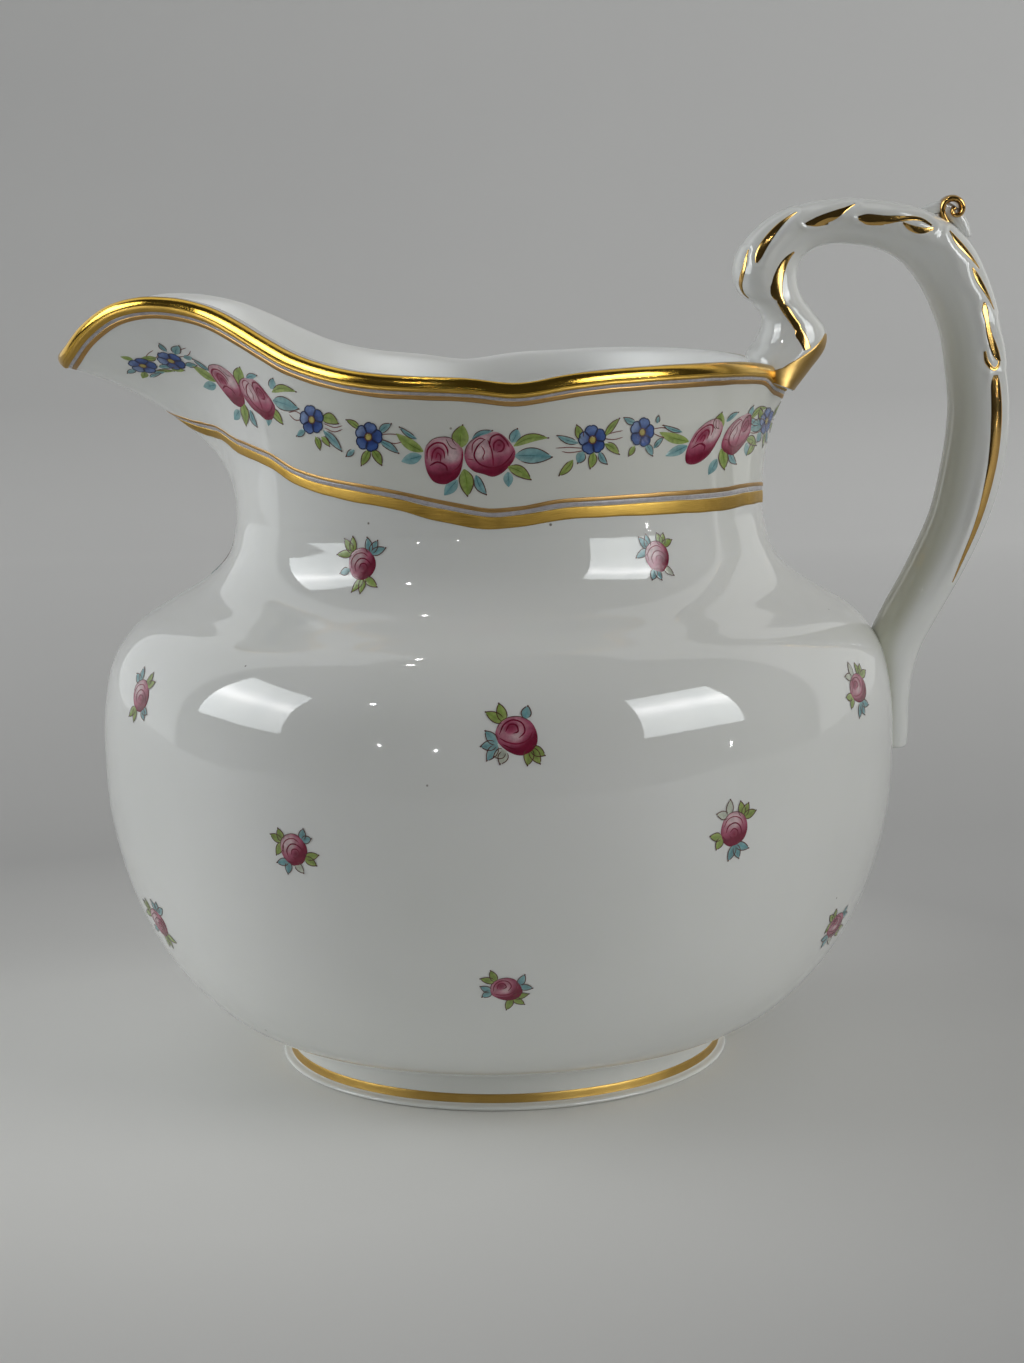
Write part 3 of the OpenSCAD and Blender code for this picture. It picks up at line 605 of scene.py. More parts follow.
# gold strokes on the side of the handle: station, place across (0 outer edge, 1 inner), half width in mm
STROKES = {
    "stem": [(1.9, 0.7, 0.52), (2.7, 0.52, 0.62), (3.6, 0.43, 0.66), (4.8, 0.54, 0.7), (5.9, 0.65, 0.7),
             (6.9, 0.72, 0.52), (7.8, 0.77, 0.12)],
    "back": [(4.6, 0.05, 0.1), (5.4, 0.06, 0.4), (6.3, 0.12, 0.34), (7.1, 0.1, 0.08)],
    "leaf_1": [(6.6, 0.28, 0.14), (7, 0.27, 0.5), (7.8, 0.24, 0.54), (8.6, 0.19, 0.4), (9.4, 0.12, 0.06)],
    "leaf_2": [(9.35, 0.4, 0.2), (9.75, 0.41, 0.56), (10.4, 0.33, 0.5), (11.1, 0.13, 0.07)],
    "leaf_3": [(11.15, 0.4, 0.24), (11.45, 0.4, 0.6), (11.95, 0.38, 0.54), (12.4, 0.3, 0.4), (13, 0.2, 0.3),
               (13.5, 0.22, 0.14)],
    "leaf_3b": [(12.55, 0.36, 0.1), (12.9, 0.4, 0.38), (13.3, 0.36, 0.42), (13.6, 0.25, 0.2)],
    "leaf_4": [(14.15, 0.12, 0.12), (14.55, 0.15, 0.5), (15, 0.14, 0.44), (15.6, 0.1, 0.06)],
    "leaf_5": [(15.45, 0.2, 0.12), (15.8, 0.18, 0.48), (16.2, 0.14, 0.4), (16.75, 0.09, 0.06)],
    "leaf_6": [(16.45, 0.23, 0.1), (16.65, 0.24, 0.5), (16.95, 0.26, 0.34), (17.3, 0.26, 0.44),
               (17.6, 0.22, 0.62),
               (17.8, 0.18, 0.6), (17.95, 0.14, 0.2)],
    "bud": [(17.65, 0.38, 0.14), (17.9, 0.37, 0.24), (18.1, 0.28, 0.26), (18.05, 0.19, 0.22),
            (17.85, 0.14, 0.14)],
    "tail": [(18.25, 0.24, 0.34), (18.5, 0.25, 0.72), (19.2, 0.24, 0.86), (20, 0.23, 0.8), (21, 0.22, 0.66),
             (22, 0.2, 0.48), (23, 0.19, 0.28), (23.7, 0.15, 0.05)],
}
STATION_MM = 4.3   # mean length of one station along the handle
ACROSS_MM = 7.0    # length across its side, from the outer edge to the inner


def handle_base(u, a):
    """Smooth handle: u stations down it, a radians round its squared section from the outer edge."""
    q = through(HANDLE, u)
    outer, inner = q[..., 0:2], q[..., 2:4]
    mid, half = (outer + inner) / 2, (outer - inner) / 2
    x, y = power(np.cos(a), 0.8), power(np.sin(a), 0.8)
    return np.stack([mid[..., 0] + half[..., 0] * x, -q[..., 4] * y, mid[..., 1] + half[..., 1] * x], -1)


def k_of(a):
    """Place across the side, 0 at the outer edge to 1 at the inner, for an angle round the section."""
    return (1 - power(np.cos(a), 0.8)) / 2


def a_of(k, side):
    """Angle round the section for a place across one side."""
    w = np.arccos(np.clip(power(1 - 2 * np.asarray(k, float), 1.25), -1, 1))
    return w if side > 0 else 2 * math.pi - w


def near_strokes(u, k):
    """Distance in mm to the nearest painted leaf, less the leaf's half width."""
    best = np.full(np.shape(u), 9.0)
    for name, pts in STROKES.items():
        if name == "stem":
            continue
        q = through(pts, np.linspace(0, len(pts) - 1, 5 * len(pts)))
        for a, b in zip(q[:-1], q[1:]):
            dx, dy = (b[0] - a[0]) * STATION_MM, (b[1] - a[1]) * ACROSS_MM
            px, py = (u - a[0]) * STATION_MM, (k - a[1]) * ACROSS_MM
            t = np.clip((px * dx + py * dy) / (dx * dx + dy * dy + 1e-9), 0, 1)
            best = np.minimum(best, np.hypot(px - t * dx, py - t * dy) - (a[2] * (1 - t) + b[2] * t))
    return best


def relief(u, a):
    """Leaf moulding: a raised strap along the back with a wavy edge, and a lip round each painted leaf."""
    k = k_of(a)
    rise = ramp(3.0, 8.5, u) * (1 - ramp(21.0, 25.0, u))
    wave = 0.47 + 0.05 * np.cos(2 * math.pi * (u - 9.4) / 2.05) * ramp(8, 9.5, u) * (1 - ramp(15, 18, u))
    wave = wave - 0.08 * ramp(13, 18, u)
    strap = 0.38 * (1 - ramp(wave - 0.07, wave + 0.05, k))
    d = near_strokes(u, k)
    rim = 0.14 * np.exp(-((d - 0.55) / 0.35)**2)
    hollow = -0.16 * (1 - ramp(-0.35, 0.4, d))
    channel = -0.22 * np.exp(-((k - 0.68) / 0.13)**2)   # soft, along the side
    return rise * (strap + rim + hollow) + channel * ramp(5, 9, u) * (1 - ramp(22, 26, u))


def handle_point(u, a, h=0.0):
    """Point of the moulded handle, h above it."""
    u, a = np.broadcast_arrays(np.asarray(u, float), np.asarray(a, float))
    p = handle_base(u, a)
    e = 0.02
    du = handle_base(np.minimum(u + e, U_MAX), a) - handle_base(np.maximum(u - e, 0), a)
    da = handle_base(u, a + e) - handle_base(u, a - e)
    n = unit(np.cross(du, da))
    c = through(HANDLE, u)
    mid = np.stack([(c[..., 0] + c[..., 2]) / 2, 0 * c[..., 0], (c[..., 1] + c[..., 3]) / 2], -1)
    n = n * np.sign(np.sum(n * (p - mid), -1, keepdims=True))
    return p + n * (relief(u, a) + h)[..., None]


def make_handle():
    n_u, n_a, n_end = 521, 88, 4
    a = 2 * math.pi * np.arange(n_a) / n_a
    p = handle_point(np.linspace(0, U_MAX, n_u)[:, None], a[None, :])
    end, mid = p[-1], p[-1].mean(0)
    rows = [p.reshape(-1, 3)]
    for k in range(1, n_end + 1):   # blunt lower end with a small round
        t = k / n_end * math.pi / 2
        rows.append(mid + (end - mid) * (0.82 + 0.18 * math.cos(t)) - (0, 0, 0.5 * math.sin(t)))
    verts = np.vstack(rows + [p[0].mean(0), mid - (0, 0, 0.52)])
    n_u += n_end
    faces = [grid_faces(n_u, n_a), fan(n_u * n_a, 0, n_a), fan(n_u * n_a + 1, (n_u - 1) * n_a, n_a, True)]
    # painted shade: the inner side is painted warmer and darker, more so lower down
    along = np.linspace(0, U_MAX, n_u)
    handle_painted_shade = ramp(13.0, 19.0, along) * (0.72 + 0.28 * ramp(0.62 * U_MAX, 0.82 * U_MAX, along))
    tint = np.zeros((len(verts), 3))
    tint[:n_u * n_a, 1] = (ramp(0.42, 0.80, k_of(a))[None] * handle_painted_shade[:, None]).ravel()
    piece("Handle", verts, faces, PORCELAIN, "porcelain", tint)


def stroke_grid(pts, side, across=9):
    """Points of one gold stroke on one side of the handle."""
    q = through(pts, np.linspace(0, len(pts) - 1, 26 + 6 * len(pts)))
    u, a, w = q[:, 0], a_of(q[:, 1], side), np.maximum(q[:, 2], 0.03)
    e = 1e-3
    pu = (handle_base(u + e, a) - handle_base(u - e, a)) / (2 * e)
    pa = (handle_base(u, a + e) - handle_base(u, a - e)) / (2 * e)
    lu, la = np.linalg.norm(pu, axis=1), np.linalg.norm(pa, axis=1)
    du, da = np.gradient(u) * lu, np.gradient(a) * la
    ln = np.hypot(du, da) + 1e-9
    rows = []
    for f in np.linspace(-1, 1, across):
        off = f * w
        uj = np.clip(u - da / ln * off / lu, 0, U_MAX)
        aj = a + du / ln * off / np.maximum(la, 1.0)
        rows.append(handle_point(uj, aj, -0.05 if abs(f) == 1 else 0.06 + 0.03 * (1 - f * f)))
    return np.stack(rows, 1)


def wedge_grid():
    """Gold in the corner where the handle meets the lip, on both sides and round the inner face."""
    u = np.linspace(0.05, 2.8, 34)
    k = np.interp(u, [0.05, 0.35, 0.6, 0.9, 1.3, 1.9, 2.8], [0.02, 0.06, 0.30, 0.50, 0.62, 0.76, 0.95])
    start = a_of(k, 1)[:, None]
    a = start + np.linspace(0, 1, 61) * (2 * math.pi - 2 * start)
    lift = np.full(a.shape, 0.07)
    lift[:, 0] = lift[:, -1] = lift[-1] = -0.04
    return handle_point(u[:, None], a, lift), pairs(u[:, None] * 2, a * 4)


def make_strokes():
    grids = [stroke_grid(pts, side) for pts in STROKES.values() for side in (1, -1)]
    uvs = [pairs(lengths(g[:, g.shape[1] // 2])[:, None], np.arange(g.shape[1]) * 0.15) for g in grids]
    wedge, wedge_uv = wedge_grid()
    faces, base = [], 0
    for g in grids + [wedge]:
        faces.append(grid_faces(*g.shape[:2], False) + base)
        base += g.shape[0] * g.shape[1]
    verts = np.concatenate([g.reshape(-1, 3) for g in grids + [wedge]])
    faces, n_wedge = np.concatenate(faces), len(faces[-1])
    uv = np.concatenate(uvs + [wedge_uv])
    ob = piece("Gilt_handle_strokes", verts, [faces], GOLD_HANDLE, "burnished_gold", uv=uv)
    second_material(ob, GOLD_MATT, np.arange(len(faces)) >= len(faces) - n_wedge)


# curl on the handle's back: x, z, half thickness, half width
SCROLL = [(57.5, 101, 0.28, 0.9), (56.85, 101.8, 0.32, 1), (56.15, 102.6, 0.36, 1.15),
          (55.6, 103.45, 0.4, 1.3),
          (55.35, 104.3, 0.43, 1.4), (55.55, 105.1, 0.45, 1.5), (56.1, 105.6, 0.45, 1.6),
          (56.8, 105.7, 0.44, 1.65),
          (57.45, 105.4, 0.42, 1.7), (57.8, 104.8, 0.4, 1.7), (57.75, 104.15, 0.38, 1.65),
          (57.35, 103.7, 0.34, 1.6),
          (56.8, 103.7, 0.3, 1.55), (56.55, 104.05, 0.3, 1.5), (56.7, 104.45, 0.34, 1.45),
          (56.95, 104.5, 0.24, 1.4)]
# the white web it springs from, behind the curl
WEB = [(51.6, 103.2, 0.4, 1.1), (53.2, 103.9, 0.7, 1.2), (54.4, 104.5, 0.75, 1.2), (55.4, 104.6, 0.8, 1.1),
       (56.3, 104.2, 0.9, 1), (57.2, 103.4, 0.9, 1), (58, 102.2, 0.8, 1), (58.6, 101, 0.5, 0.9)]


def tube(points, steps, n=28):
    """Tube through points with half thickness and half width: vertices, faces, caps, mapping."""
    t = np.linspace(0, len(points) - 1, steps)
    q = through(points, t)[:, None]
    d = unit(np.gradient(q[:, 0, :2], axis=0))[:, None]
    w = 2 * math.pi * np.arange(n) / n
    x, y = power(np.cos(w), 0.8), power(np.sin(w), 0.7)
    v = np.stack([q[..., 0] - d[..., 1] * q[..., 2] * x, -q[..., 3] * y,
                  q[..., 1] + d[..., 0] * q[..., 2] * x], -1)
    ends = [[q[k, 0, 0], 0, q[k, 0, 1]] for k in (0, -1)]
    m = steps * n
    caps = np.concatenate([fan(m, 0, n), fan(m + 1, m - n, n, True)])
    uv = np.vstack([pairs(t[:, None], w), [[0, 0]] * 2])
    return np.vstack([v.reshape(-1, 3)] + ends), grid_faces(steps, n), caps, uv


def make_scroll():
    v1, f1, c1, uv1 = tube(SCROLL, 150)
    v2, f2, c2, uv2 = tube(WEB, 60)
    faces = [f1, f2 + len(v1), c1, c2 + len(v1)]
    ob = piece("Handle_scroll", np.vstack([v1, v2]), faces, GOLD_HANDLE, "burnished_gold",
               np.zeros((len(v1) + len(v2), 3)), np.vstack([uv1, uv2]))
    second_material(ob, PORCELAIN, np.repeat([0, 1, 0, 1], [len(f) for f in faces]))


make_handle()
make_strokes()
make_scroll()


# ------------------------------------------------------------------ enamel painting
class Paint:
    """Collects small flat shapes in mm on drawing frames, then lays them on the surface in one step."""

    def __init__(self):
        self.rows, self.faces, self.n = [], [], 0

    def add(self, place, pts, faces, colours, lift):
        n = len(pts)
        shared = [np.broadcast_to(np.asarray(x, float), (n,) + np.shape(x)) for x in place]
        lift, colours = np.broadcast_to(lift, (n,)), np.broadcast_to(colours, (n, 3))
        self.rows.append(shared + [np.asarray(pts, float), lift, colours])
        self.faces.append(faces + self.n)
        self.n += n

    def build(self, name, material, slot):
        th, v, centre, normal, right, up, p, lift, colours = (np.concatenate(x) for x in zip(*self.rows))
        goal = centre + right * p[:, :1] + up * p[:, 1:]
        t = np.zeros(len(p))
        e = 1e-4
        for _ in range(5):   # Newton: where the line through the goal along the normal meets the surface
            s = skin(th, v)
            ev = np.where(v > 1.9, -e, e)
            jac = np.stack([(skin(th + e, v) - s) / e, (skin(th, v + ev) - s) / ev[:, None], -normal], -1)
            step = np.linalg.solve(jac, (goal + t[:, None] * normal - s)[..., None])[..., 0]
            th = th + np.clip(step[:, 0], -0.2, 0.2)
            v = np.clip(v + np.clip(step[:, 1], -0.2, 0.2), 0, 2)
            t = t + step[:, 2]
        verts = skin(th, v) + outward(th, v) * lift[:, None]
        kinds = [[f for f in self.faces if f.shape[1] == k] for k in (4, 3)]
        faces = [np.concatenate(kind) for kind in kinds if kind]
        piece(name, verts, faces, material, slot, np.clip(colours, 0, 1))


def tangent_frame(deg, v=None, s=None, tilt=0.0, wide=1.0, lean=0.0):
    """Flat drawing frame on the surface. wide stretches it sideways and lean slants it to the right."""
    th = math.radians(deg)
    if v is None:
        v = float(v_below(th, s))
    n = outward(th, v)
    e = np.array([-math.sin(th), math.cos(th), 0.0])
    e = unit(e - e.dot(n) * n)
    f = np.cross(n, e)
    a = math.radians(tilt)
    right, up = e * math.cos(a) + f * math.sin(a), -e * math.sin(a) + f * math.cos(a)
    return th, v, skin(th, v), n, right * wide, up + right * lean


def ribbon(paint, place, pts, width, colour, lift, taper=(0.25, 0.25), n=None):
    """Brush line through a few points, thinner at its ends."""
    n = n or max(6, 5 * len(pts))
    q = through(pts, np.linspace(0, len(pts) - 1, n))
    d = np.gradient(q, axis=0)
    d /= np.linalg.norm(d, axis=1, keepdims=True) + 1e-9
    x = np.linspace(0, 1, n)
    w = width / 2 * np.minimum(1, np.minimum(taper[0] + x * 5, taper[1] + (1 - x) * 5))
    side = np.stack([-d[:, 1], d[:, 0]], -1) * w[:, None]
    v = np.stack([q + side, q, q - side], 1).reshape(-1, 2)
    paint.add(place, v, grid_faces(n, 3, False, flip=True), colour, lift)


def disc(paint, place, outline, colour, lift, rings, n):
    """Filled shape with a smooth closed outline. colour() gets its points and how far out each is."""
    out = np.asarray(outline, float)
    t = np.arange(n) * len(out) / n
    i = np.floor(t).astype(int)
    rim = catmull(*(out[(i + j) % len(out)] for j in (-1, 0, 1, 2)), (t - i)[:, None])
    mid = rim.mean(0)
    reach = np.linspace(1, 0.04, rings)
    v = np.vstack([mid + (rim - mid) * r for r in reach] + [mid])
    far = np.append(np.repeat(reach, n), 0)
    shown, lifts = colour(v, far), np.where(far > 0.999, lift * 0.4, lift)
    paint.add(place, v, grid_faces(rings, n), shown, lifts)
    # the fan in the middle has its own copy of the last ring
    paint.add(place, v[-1 - n:], fan(n, 0, n), shown[-1 - n:], lifts[-1 - n:])


def lerp(a, b, t):
    return np.asarray(a) * (1 - t[:, None]) + np.asarray(b) * t[:, None]


BROWN = (0.13, 0.055, 0.045)
CRIMSON = (0.20, 0.012, 0.04)
DEEP = (0.26, 0.02, 0.055)
ROSE_MID = (0.42, 0.10, 0.17)
PALE = (0.66, 0.49, 0.51)
NAVY = (0.03, 0.04, 0.10)
STEM_BROWN = (0.25, 0.10, 0.09)
# light and dark of a leaf: green, turquoise, and one left blank inside its outline
LEAF_TONES = {"g": ((0.36, 0.44, 0.14), (0.22, 0.33, 0.06)), "t": ((0.30, 0.47, 0.47), (0.12, 0.32, 0.36)),
              "o": ((0.60, 0.62, 0.55), (0.50, 0.54, 0.42))}
LEAF_LIFT = 0.035


def leaf(place, base, tip, width, kind, line=1.0, bend=0.0, veins=True):
    """Almond leaf from base to tip. line: 0 none, 1 both edges, 0.5 one edge, in brown."""
    paint = turqs if kind == "t" else greens
    light, dark = LEAF_TONES[kind]
    base, tip = np.asarray(base, float), np.asarray(tip, float)
    d = tip - base
    ln = np.linalg.norm(d)
    ax, sd = d / ln, np.array([-d[1], d[0]]) / ln
    n, m = 13, 7
    t, f = np.linspace(0, 1, n)[:, None], np.linspace(-1, 1, m)[None, :]
    wid = width / 2 * np.sin(math.pi * t**0.85)**0.8
    wid[0], wid[-1] = width * 0.06, width * 0.02
    mid = base + ax * t * ln + sd * bend * np.sin(math.pi * t)
    v = mid[:, None] + sd * (wid * f)[..., None]
    shade = np.clip(0.15 + 0.55 * (1 - np.abs(f))**2 + 0.21 * np.sin(3 * t + base[0]) + 0.12 * f, 0, 1)
    lift = np.full(shade.shape, LEAF_LIFT)
    lift[:, 0] = lift[:, -1] = LEAF_LIFT * 0.4
    tone = lerp(light, dark, shade.ravel())
    paint.add(place, v.reshape(-1, 2), grid_faces(n, m, False, flip=True), tone, lift.ravel())
    edge_w = 0.10 if width > 0.9 else 0.09
    if line > 0:
        ribbon(paint, place, (mid + sd * wid)[1::2], edge_w, BROWN, LEAF_LIFT + 0.02, (0.3, 0.8))
        if line >= 1:
            ribbon(paint, place, (mid - sd * wid)[2::2], edge_w, BROWN, LEAF_LIFT + 0.02, (0.3, 0.8))
        point = [tip - ax * 0.12, tip + ax * 0.10]
        ribbon(paint, place, point, 0.16, BROWN, LEAF_LIFT + 0.025, (0.8, 0.4), 6)
    if veins and ln > 1.6:
        ribbon(paint, place, mid[1:9:2], 0.06, 0.55 * np.asarray(dark), LEAF_LIFT + 0.015, (0.5, 0.2))


# Roses: outline, the dark heart and its radius, the way the shading deepens, a pale place, and brush lines
# with their widths and colours. A and B make up a pair.
ROSE_A = dict(
    outline=[(-2.2, 0.3), (-2.1, 1.4), (-1.5, 2.1), (-0.7, 2.5), (0.3, 2.6), (1.1, 2.3), (1.8, 1.8),
             (2.2, 1.1),
             (2.2, 0.2), (2, -0.9), (1.6, -1.8), (0.8, -2.5), (-0.2, -2.7), (-1.2, -2.4), (-1.8, -1.6),
             (-2.1, -0.7)],
    heart=(-0.75, 0.75), heart_r=1, fall=(0.15, -1), pale=(0.9, 0.5),
    lines=[([(-1.9, 0.1), (-1.8, 1.2), (-1, 1.9), (-0.1, 1.9), (0.4, 1.3), (0.5, 0.5)], 0.26, DEEP),
           ([(-1.4, -0.1), (-1.2, 0.9), (-0.6, 1.4), (0, 1), (0.1, 0.2)], 0.24, DEEP),
           ([(-0.9, 0.2), (-0.7, 0.8), (-0.35, 0.5), (-0.4, -0.2)], 0.2, DEEP),
           ([(0.3, 2.4), (0.65, 1.7), (1, 1.35), (1.5, 1.25)], 0.13, BROWN),
           ([(-1.6, -0.6), (-0.7, -0.2), (0.2, -0.6), (0.4, -1.2)], 0.26, CRIMSON),
           ([(2.1, 1), (2.05, 0), (1.6, -0.8), (0.9, -1.3)], 0.22, DEEP),
           ([(-2, 1.6), (-1.2, 2.35), (-0.2, 2.62), (0.7, 2.55), (1.4, 2.15)], 0.1, BROWN)])
ROSE_B = dict(
    outline=[(-2.8, 0.1), (-2.6, 1), (-1.9, 1.8), (-1, 2.2), (0, 2.4), (0.9, 2.5), (1.7, 2.1), (2.4, 1.2),
             (2.9, 0.1), (2.7, -0.8), (2, -1.6), (1.1, -2.25), (0.1, -2.5), (-0.9, -2.1), (-1.9, -1.7),
             (-2.6, -0.9)],
    heart=(1.2, 1), heart_r=1.05, fall=(0.1, -1), pale=(-0.9, 0.3),
    lines=[([(-0.3, 1.8), (-1.2, 1.1), (-1.7, 0.1), (-1.3, -0.8), (-0.5, -1.3), (0.4, -1.5), (1.3, -1.3),
             (2.1, -0.7),
             (2.75, 0.1)], 0.24, CRIMSON),
           ([(-1.9, 0.4), (-1.7, 1.4), (-0.9, 1.95), (-0.2, 1.7)], 0.16, DEEP),
           ([(0, 1.7), (0.3, 0.5), (0.35, -0.5), (0.3, -1.3)], 0.22, DEEP),
           ([(-0.8, 1.1), (-0.5, 0.4), (-0.75, -0.2), (-0.7, -0.5)], 0.15, DEEP),
           ([(0.1, 0.9), (0.4, 1.9), (1.3, 2.15), (2, 1.4), (2.3, 0.6)], 0.26, CRIMSON),
           ([(0.55, 0.4), (0.65, 1.2), (1.25, 1.55), (1.75, 1), (1.5, 0.35), (0.9, 0.2)], 0.26, CRIMSON),
           ([(1, 1), (1.35, 0.95)], 0.2, DEEP),
           ([(-2.7, 0.3), (-2.4, 1.2), (-1.6, 1.9), (-0.8, 2.25)], 0.1, BROWN),
           ([(-2.5, -0.2), (-1.8, -0.4)], 0.12, DEEP)])
# sprig rose, crimson below and to the right
ROSE_C = dict(
    outline=[(-1.75, 0.1), (-1.65, 0.9), (-1.15, 1.5), (-0.4, 1.85), (0.5, 1.8), (1.2, 1.35), (1.7, 0.6),
             (1.8, -0.3),
             (1.4, -1.2), (0.7, -1.8), (-0.2, -1.9), (-1, -1.5), (-1.5, -0.8)],
    heart=(0.35, -0.45), heart_r=0.75, fall=(0.75, -0.65), pale=(-0.5, 0.6),
    lines=[([(-1.3, -0.5), (-1.35, 0.4), (-0.8, 1.1), (0.1, 1.3), (0.8, 0.9)], 0.15, DEEP),
           ([(-0.7, -0.9), (-0.85, -0.1), (-0.3, 0.6), (0.5, 0.6), (1.2, 0), (1.3, -0.7)], 0.2, CRIMSON),
           ([(-0.3, -0.6), (-0.1, 0), (0.5, 0.05), (0.8, -0.5), (0.4, -1), (-0.1, -0.9)], 0.19, CRIMSON),
           ([(0.2, -0.4), (0.45, -0.55)], 0.16, DEEP),
           ([(-1.7, 0.3), (-1.5, 1.1), (-0.8, 1.7), (0.1, 1.88), (0.8, 1.65)], 0.09, BROWN),
           ([(-0.9, -1.4), (0, -1.55), (1, -1.2)], 0.16, CRIMSON)])
# sprig rose with its heart up on the left
ROSE_D = dict(
    outline=[(-1.9, 0), (-1.7, 0.8), (-1, 1.45), (-0.1, 1.7), (0.9, 1.6), (1.6, 1), (2, 0.2), (2, -0.7),
             (1.5, -1.4), (0.6, -1.75), (-0.4, -1.6), (-1.2, -1.2), (-1.75, -0.7)],
    heart=(-0.55, 0.55), heart_r=0.7, fall=(0.7, -0.75), pale=(0.2, -0.2),
    lines=[([(-1.5, -0.3), (-1.3, 0.7), (-0.6, 1.3), (0.3, 1.2), (0.7, 0.5), (0.3, -0.2)], 0.19, CRIMSON),
           ([(-1, 0.1), (-0.8, 0.8), (-0.2, 0.9), (0.1, 0.4), (-0.3, 0.1)], 0.19, CRIMSON),
           ([(-1.4, -0.6), (-0.6, -0.8), (0.4, -0.7), (1.2, -0.1), (1.4, 0.7)], 0.17, DEEP),
           ([(-1, -1.1), (0.1, -1.25), (1.2, -0.9), (1.8, -0.2)], 0.17, CRIMSON),
           ([(-1.85, 0.2), (-1.55, 1), (-0.8, 1.55), (0.1, 1.75), (1, 1.55)], 0.09, BROWN)])


def rose(place, kind, size, turn, lift=0.05, darker=0.0):
    a = math.radians(turn)
    rot = np.array([[math.cos(a), -math.sin(a)], [math.sin(a), math.cos(a)]])

    def move(pts):
        return np.asarray(pts, float) * size @ rot.T

    outline, heart, pale, fall = (move(kind[k]) for k in ("outline", "heart", "pale", "fall"))
    fall = unit(fall)
    reach = max(np.linalg.norm(outline, axis=1))

    def colour(p, far):
        along = p @ fall / reach
        d = np.clip(0.30 + 0.95 * ramp(-0.15, 0.95, along) - 0.30 * ramp(0.1, 0.9, -along), 0, 1)
        from_heart = np.linalg.norm(p - heart, axis=1) / (kind["heart_r"] * size)
        from_pale = np.linalg.norm(p - pale, axis=1) / (0.75 * size)
        d = np.maximum(d, 0.78 * np.exp(-from_heart**2.4)) - 0.48 * np.exp(-from_pale**2)
        d = np.clip(d + darker + 0.20 * ramp(0.75, 1.0, far), 0, 1)
        return np.where((d < 0.5)[:, None], lerp(PALE, ROSE_MID, np.clip(d * 2, 0, 1)),
                        lerp(ROSE_MID, CRIMSON, np.clip(d * 2 - 1, 0, 1)))

    disc(roses, place, outline, colour, lift, 16, 64)
    for pts, width, tone in kind["lines"]:
        ribbon(roses, place, move(pts), width * size * 0.78, tone, lift + 0.02, (0.35, 0.3))


# one petal: places along it and across it; then the light and dark of each petal
PETAL = [(0.16, 0.0), (0.34, 0.55), (0.62, 0.98), (0.88, 0.72), (0.98, 0.25), (0.94, -0.1), (0.96, -0.4),
         (0.82, -0.85), (0.58, -0.98), (0.32, -0.55)]
PETAL_TONES = [((0.13, 0.21, 0.45), (0.05, 0.09, 0.28)), ((0.06, 0.12, 0.36), (0.03, 0.06, 0.22)),
               ((0.05, 0.11, 0.34), (0.03, 0.05, 0.2)), ((0.10, 0.17, 0.40), (0.04, 0.07, 0.25)),
               ((0.22, 0.30, 0.50), (0.09, 0.14, 0.34))]


def blue_flower(place, r, turn):
    lift = 0.045
    for k, (light, dark) in enumerate(PETAL_TONES):
        a = math.radians(90 - 72 * k + turn)
        ax, sd = np.array([math.cos(a), math.sin(a)]), np.array([-math.sin(a), math.cos(a)])

        def petal_colour(p, far):
            tip = 1.25 * ramp(0.3, 0.85, p @ ax / r)
            return lerp(light, dark, np.clip(0.9 - tip + 0.75 * ramp(0.75, 1, far), 0, 1))

        shape = [ax * r * f + sd * r * 0.46 * g for f, g in PETAL]
        disc(blues, place, shape, petal_colour, lift, 7, 30)
        ribbon(blues, place, shape + shape[:1], 0.13, NAVY, lift + 0.018, (0.8, 0.8), 34)

    def centre_colour(p, far):
        return lerp((0.52, 0.45, 0.13), (0.38, 0.28, 0.06), np.clip(far * 0.8, 0, 1))

    ring = [(math.cos(t) * r * 0.27, math.sin(t) * r * 0.27) for t in np.linspace(0, 2 * math.pi, 9)]
    disc(blues, place, ring[:-1], centre_colour, lift + 0.03, 4, 20)
    ribbon(blues, place, ring, 0.11, BROWN, lift + 0.04, (0.9, 0.9), 26)


# ------------------------------------------------------------------ garland
# Leaves: base, tip, width, kind, brown line, bend. PAIR is measured from the middle of a pair of roses, and
# the others from the middle of a flower.
PAIR = [((-4.9, 0.6), (-8, 2.5), 1.25, "g", 0, 0.15), ((-5.6, 2), (-7.6, 3.4), 0.55, "t", 1, 0.1),
        ((-5.1, 0.1), (-7.4, -0.6), 1.3, "t", 0, 0), ((-0.7, 1), (-0.2, 3.5), 1.9, "g", 0.5, 0.1),
        ((0.7, 2), (2.9, 2.9), 0.8, "t", 0.5, 0.1), ((5.1, 1.5), (5.8, 3.1), 1.25, "t", 0.5, -0.1),
        ((5.3, 1.1), (9.2, 1.9), 1, "g", 0.5, 0.45), ((5.4, 0), (9.5, -0.3), 1.75, "t", 1, 0.1),
        ((4.6, -1.2), (7, -2.8), 1.2, "g", 1, 0.2), ((4.6, -1.8), (4.6, -3.6), 1.1, "t", 0, 0),
        ((1, -2.1), (2.2, -4.2), 1, "t", 1, -0.2), ((-0.3, -1.4), (0, -4.3), 1.6, "g", 1, 0.1),
        ((-1.1, -2.6), (-2.5, -4.3), 1.3, "t", 0, 0)]
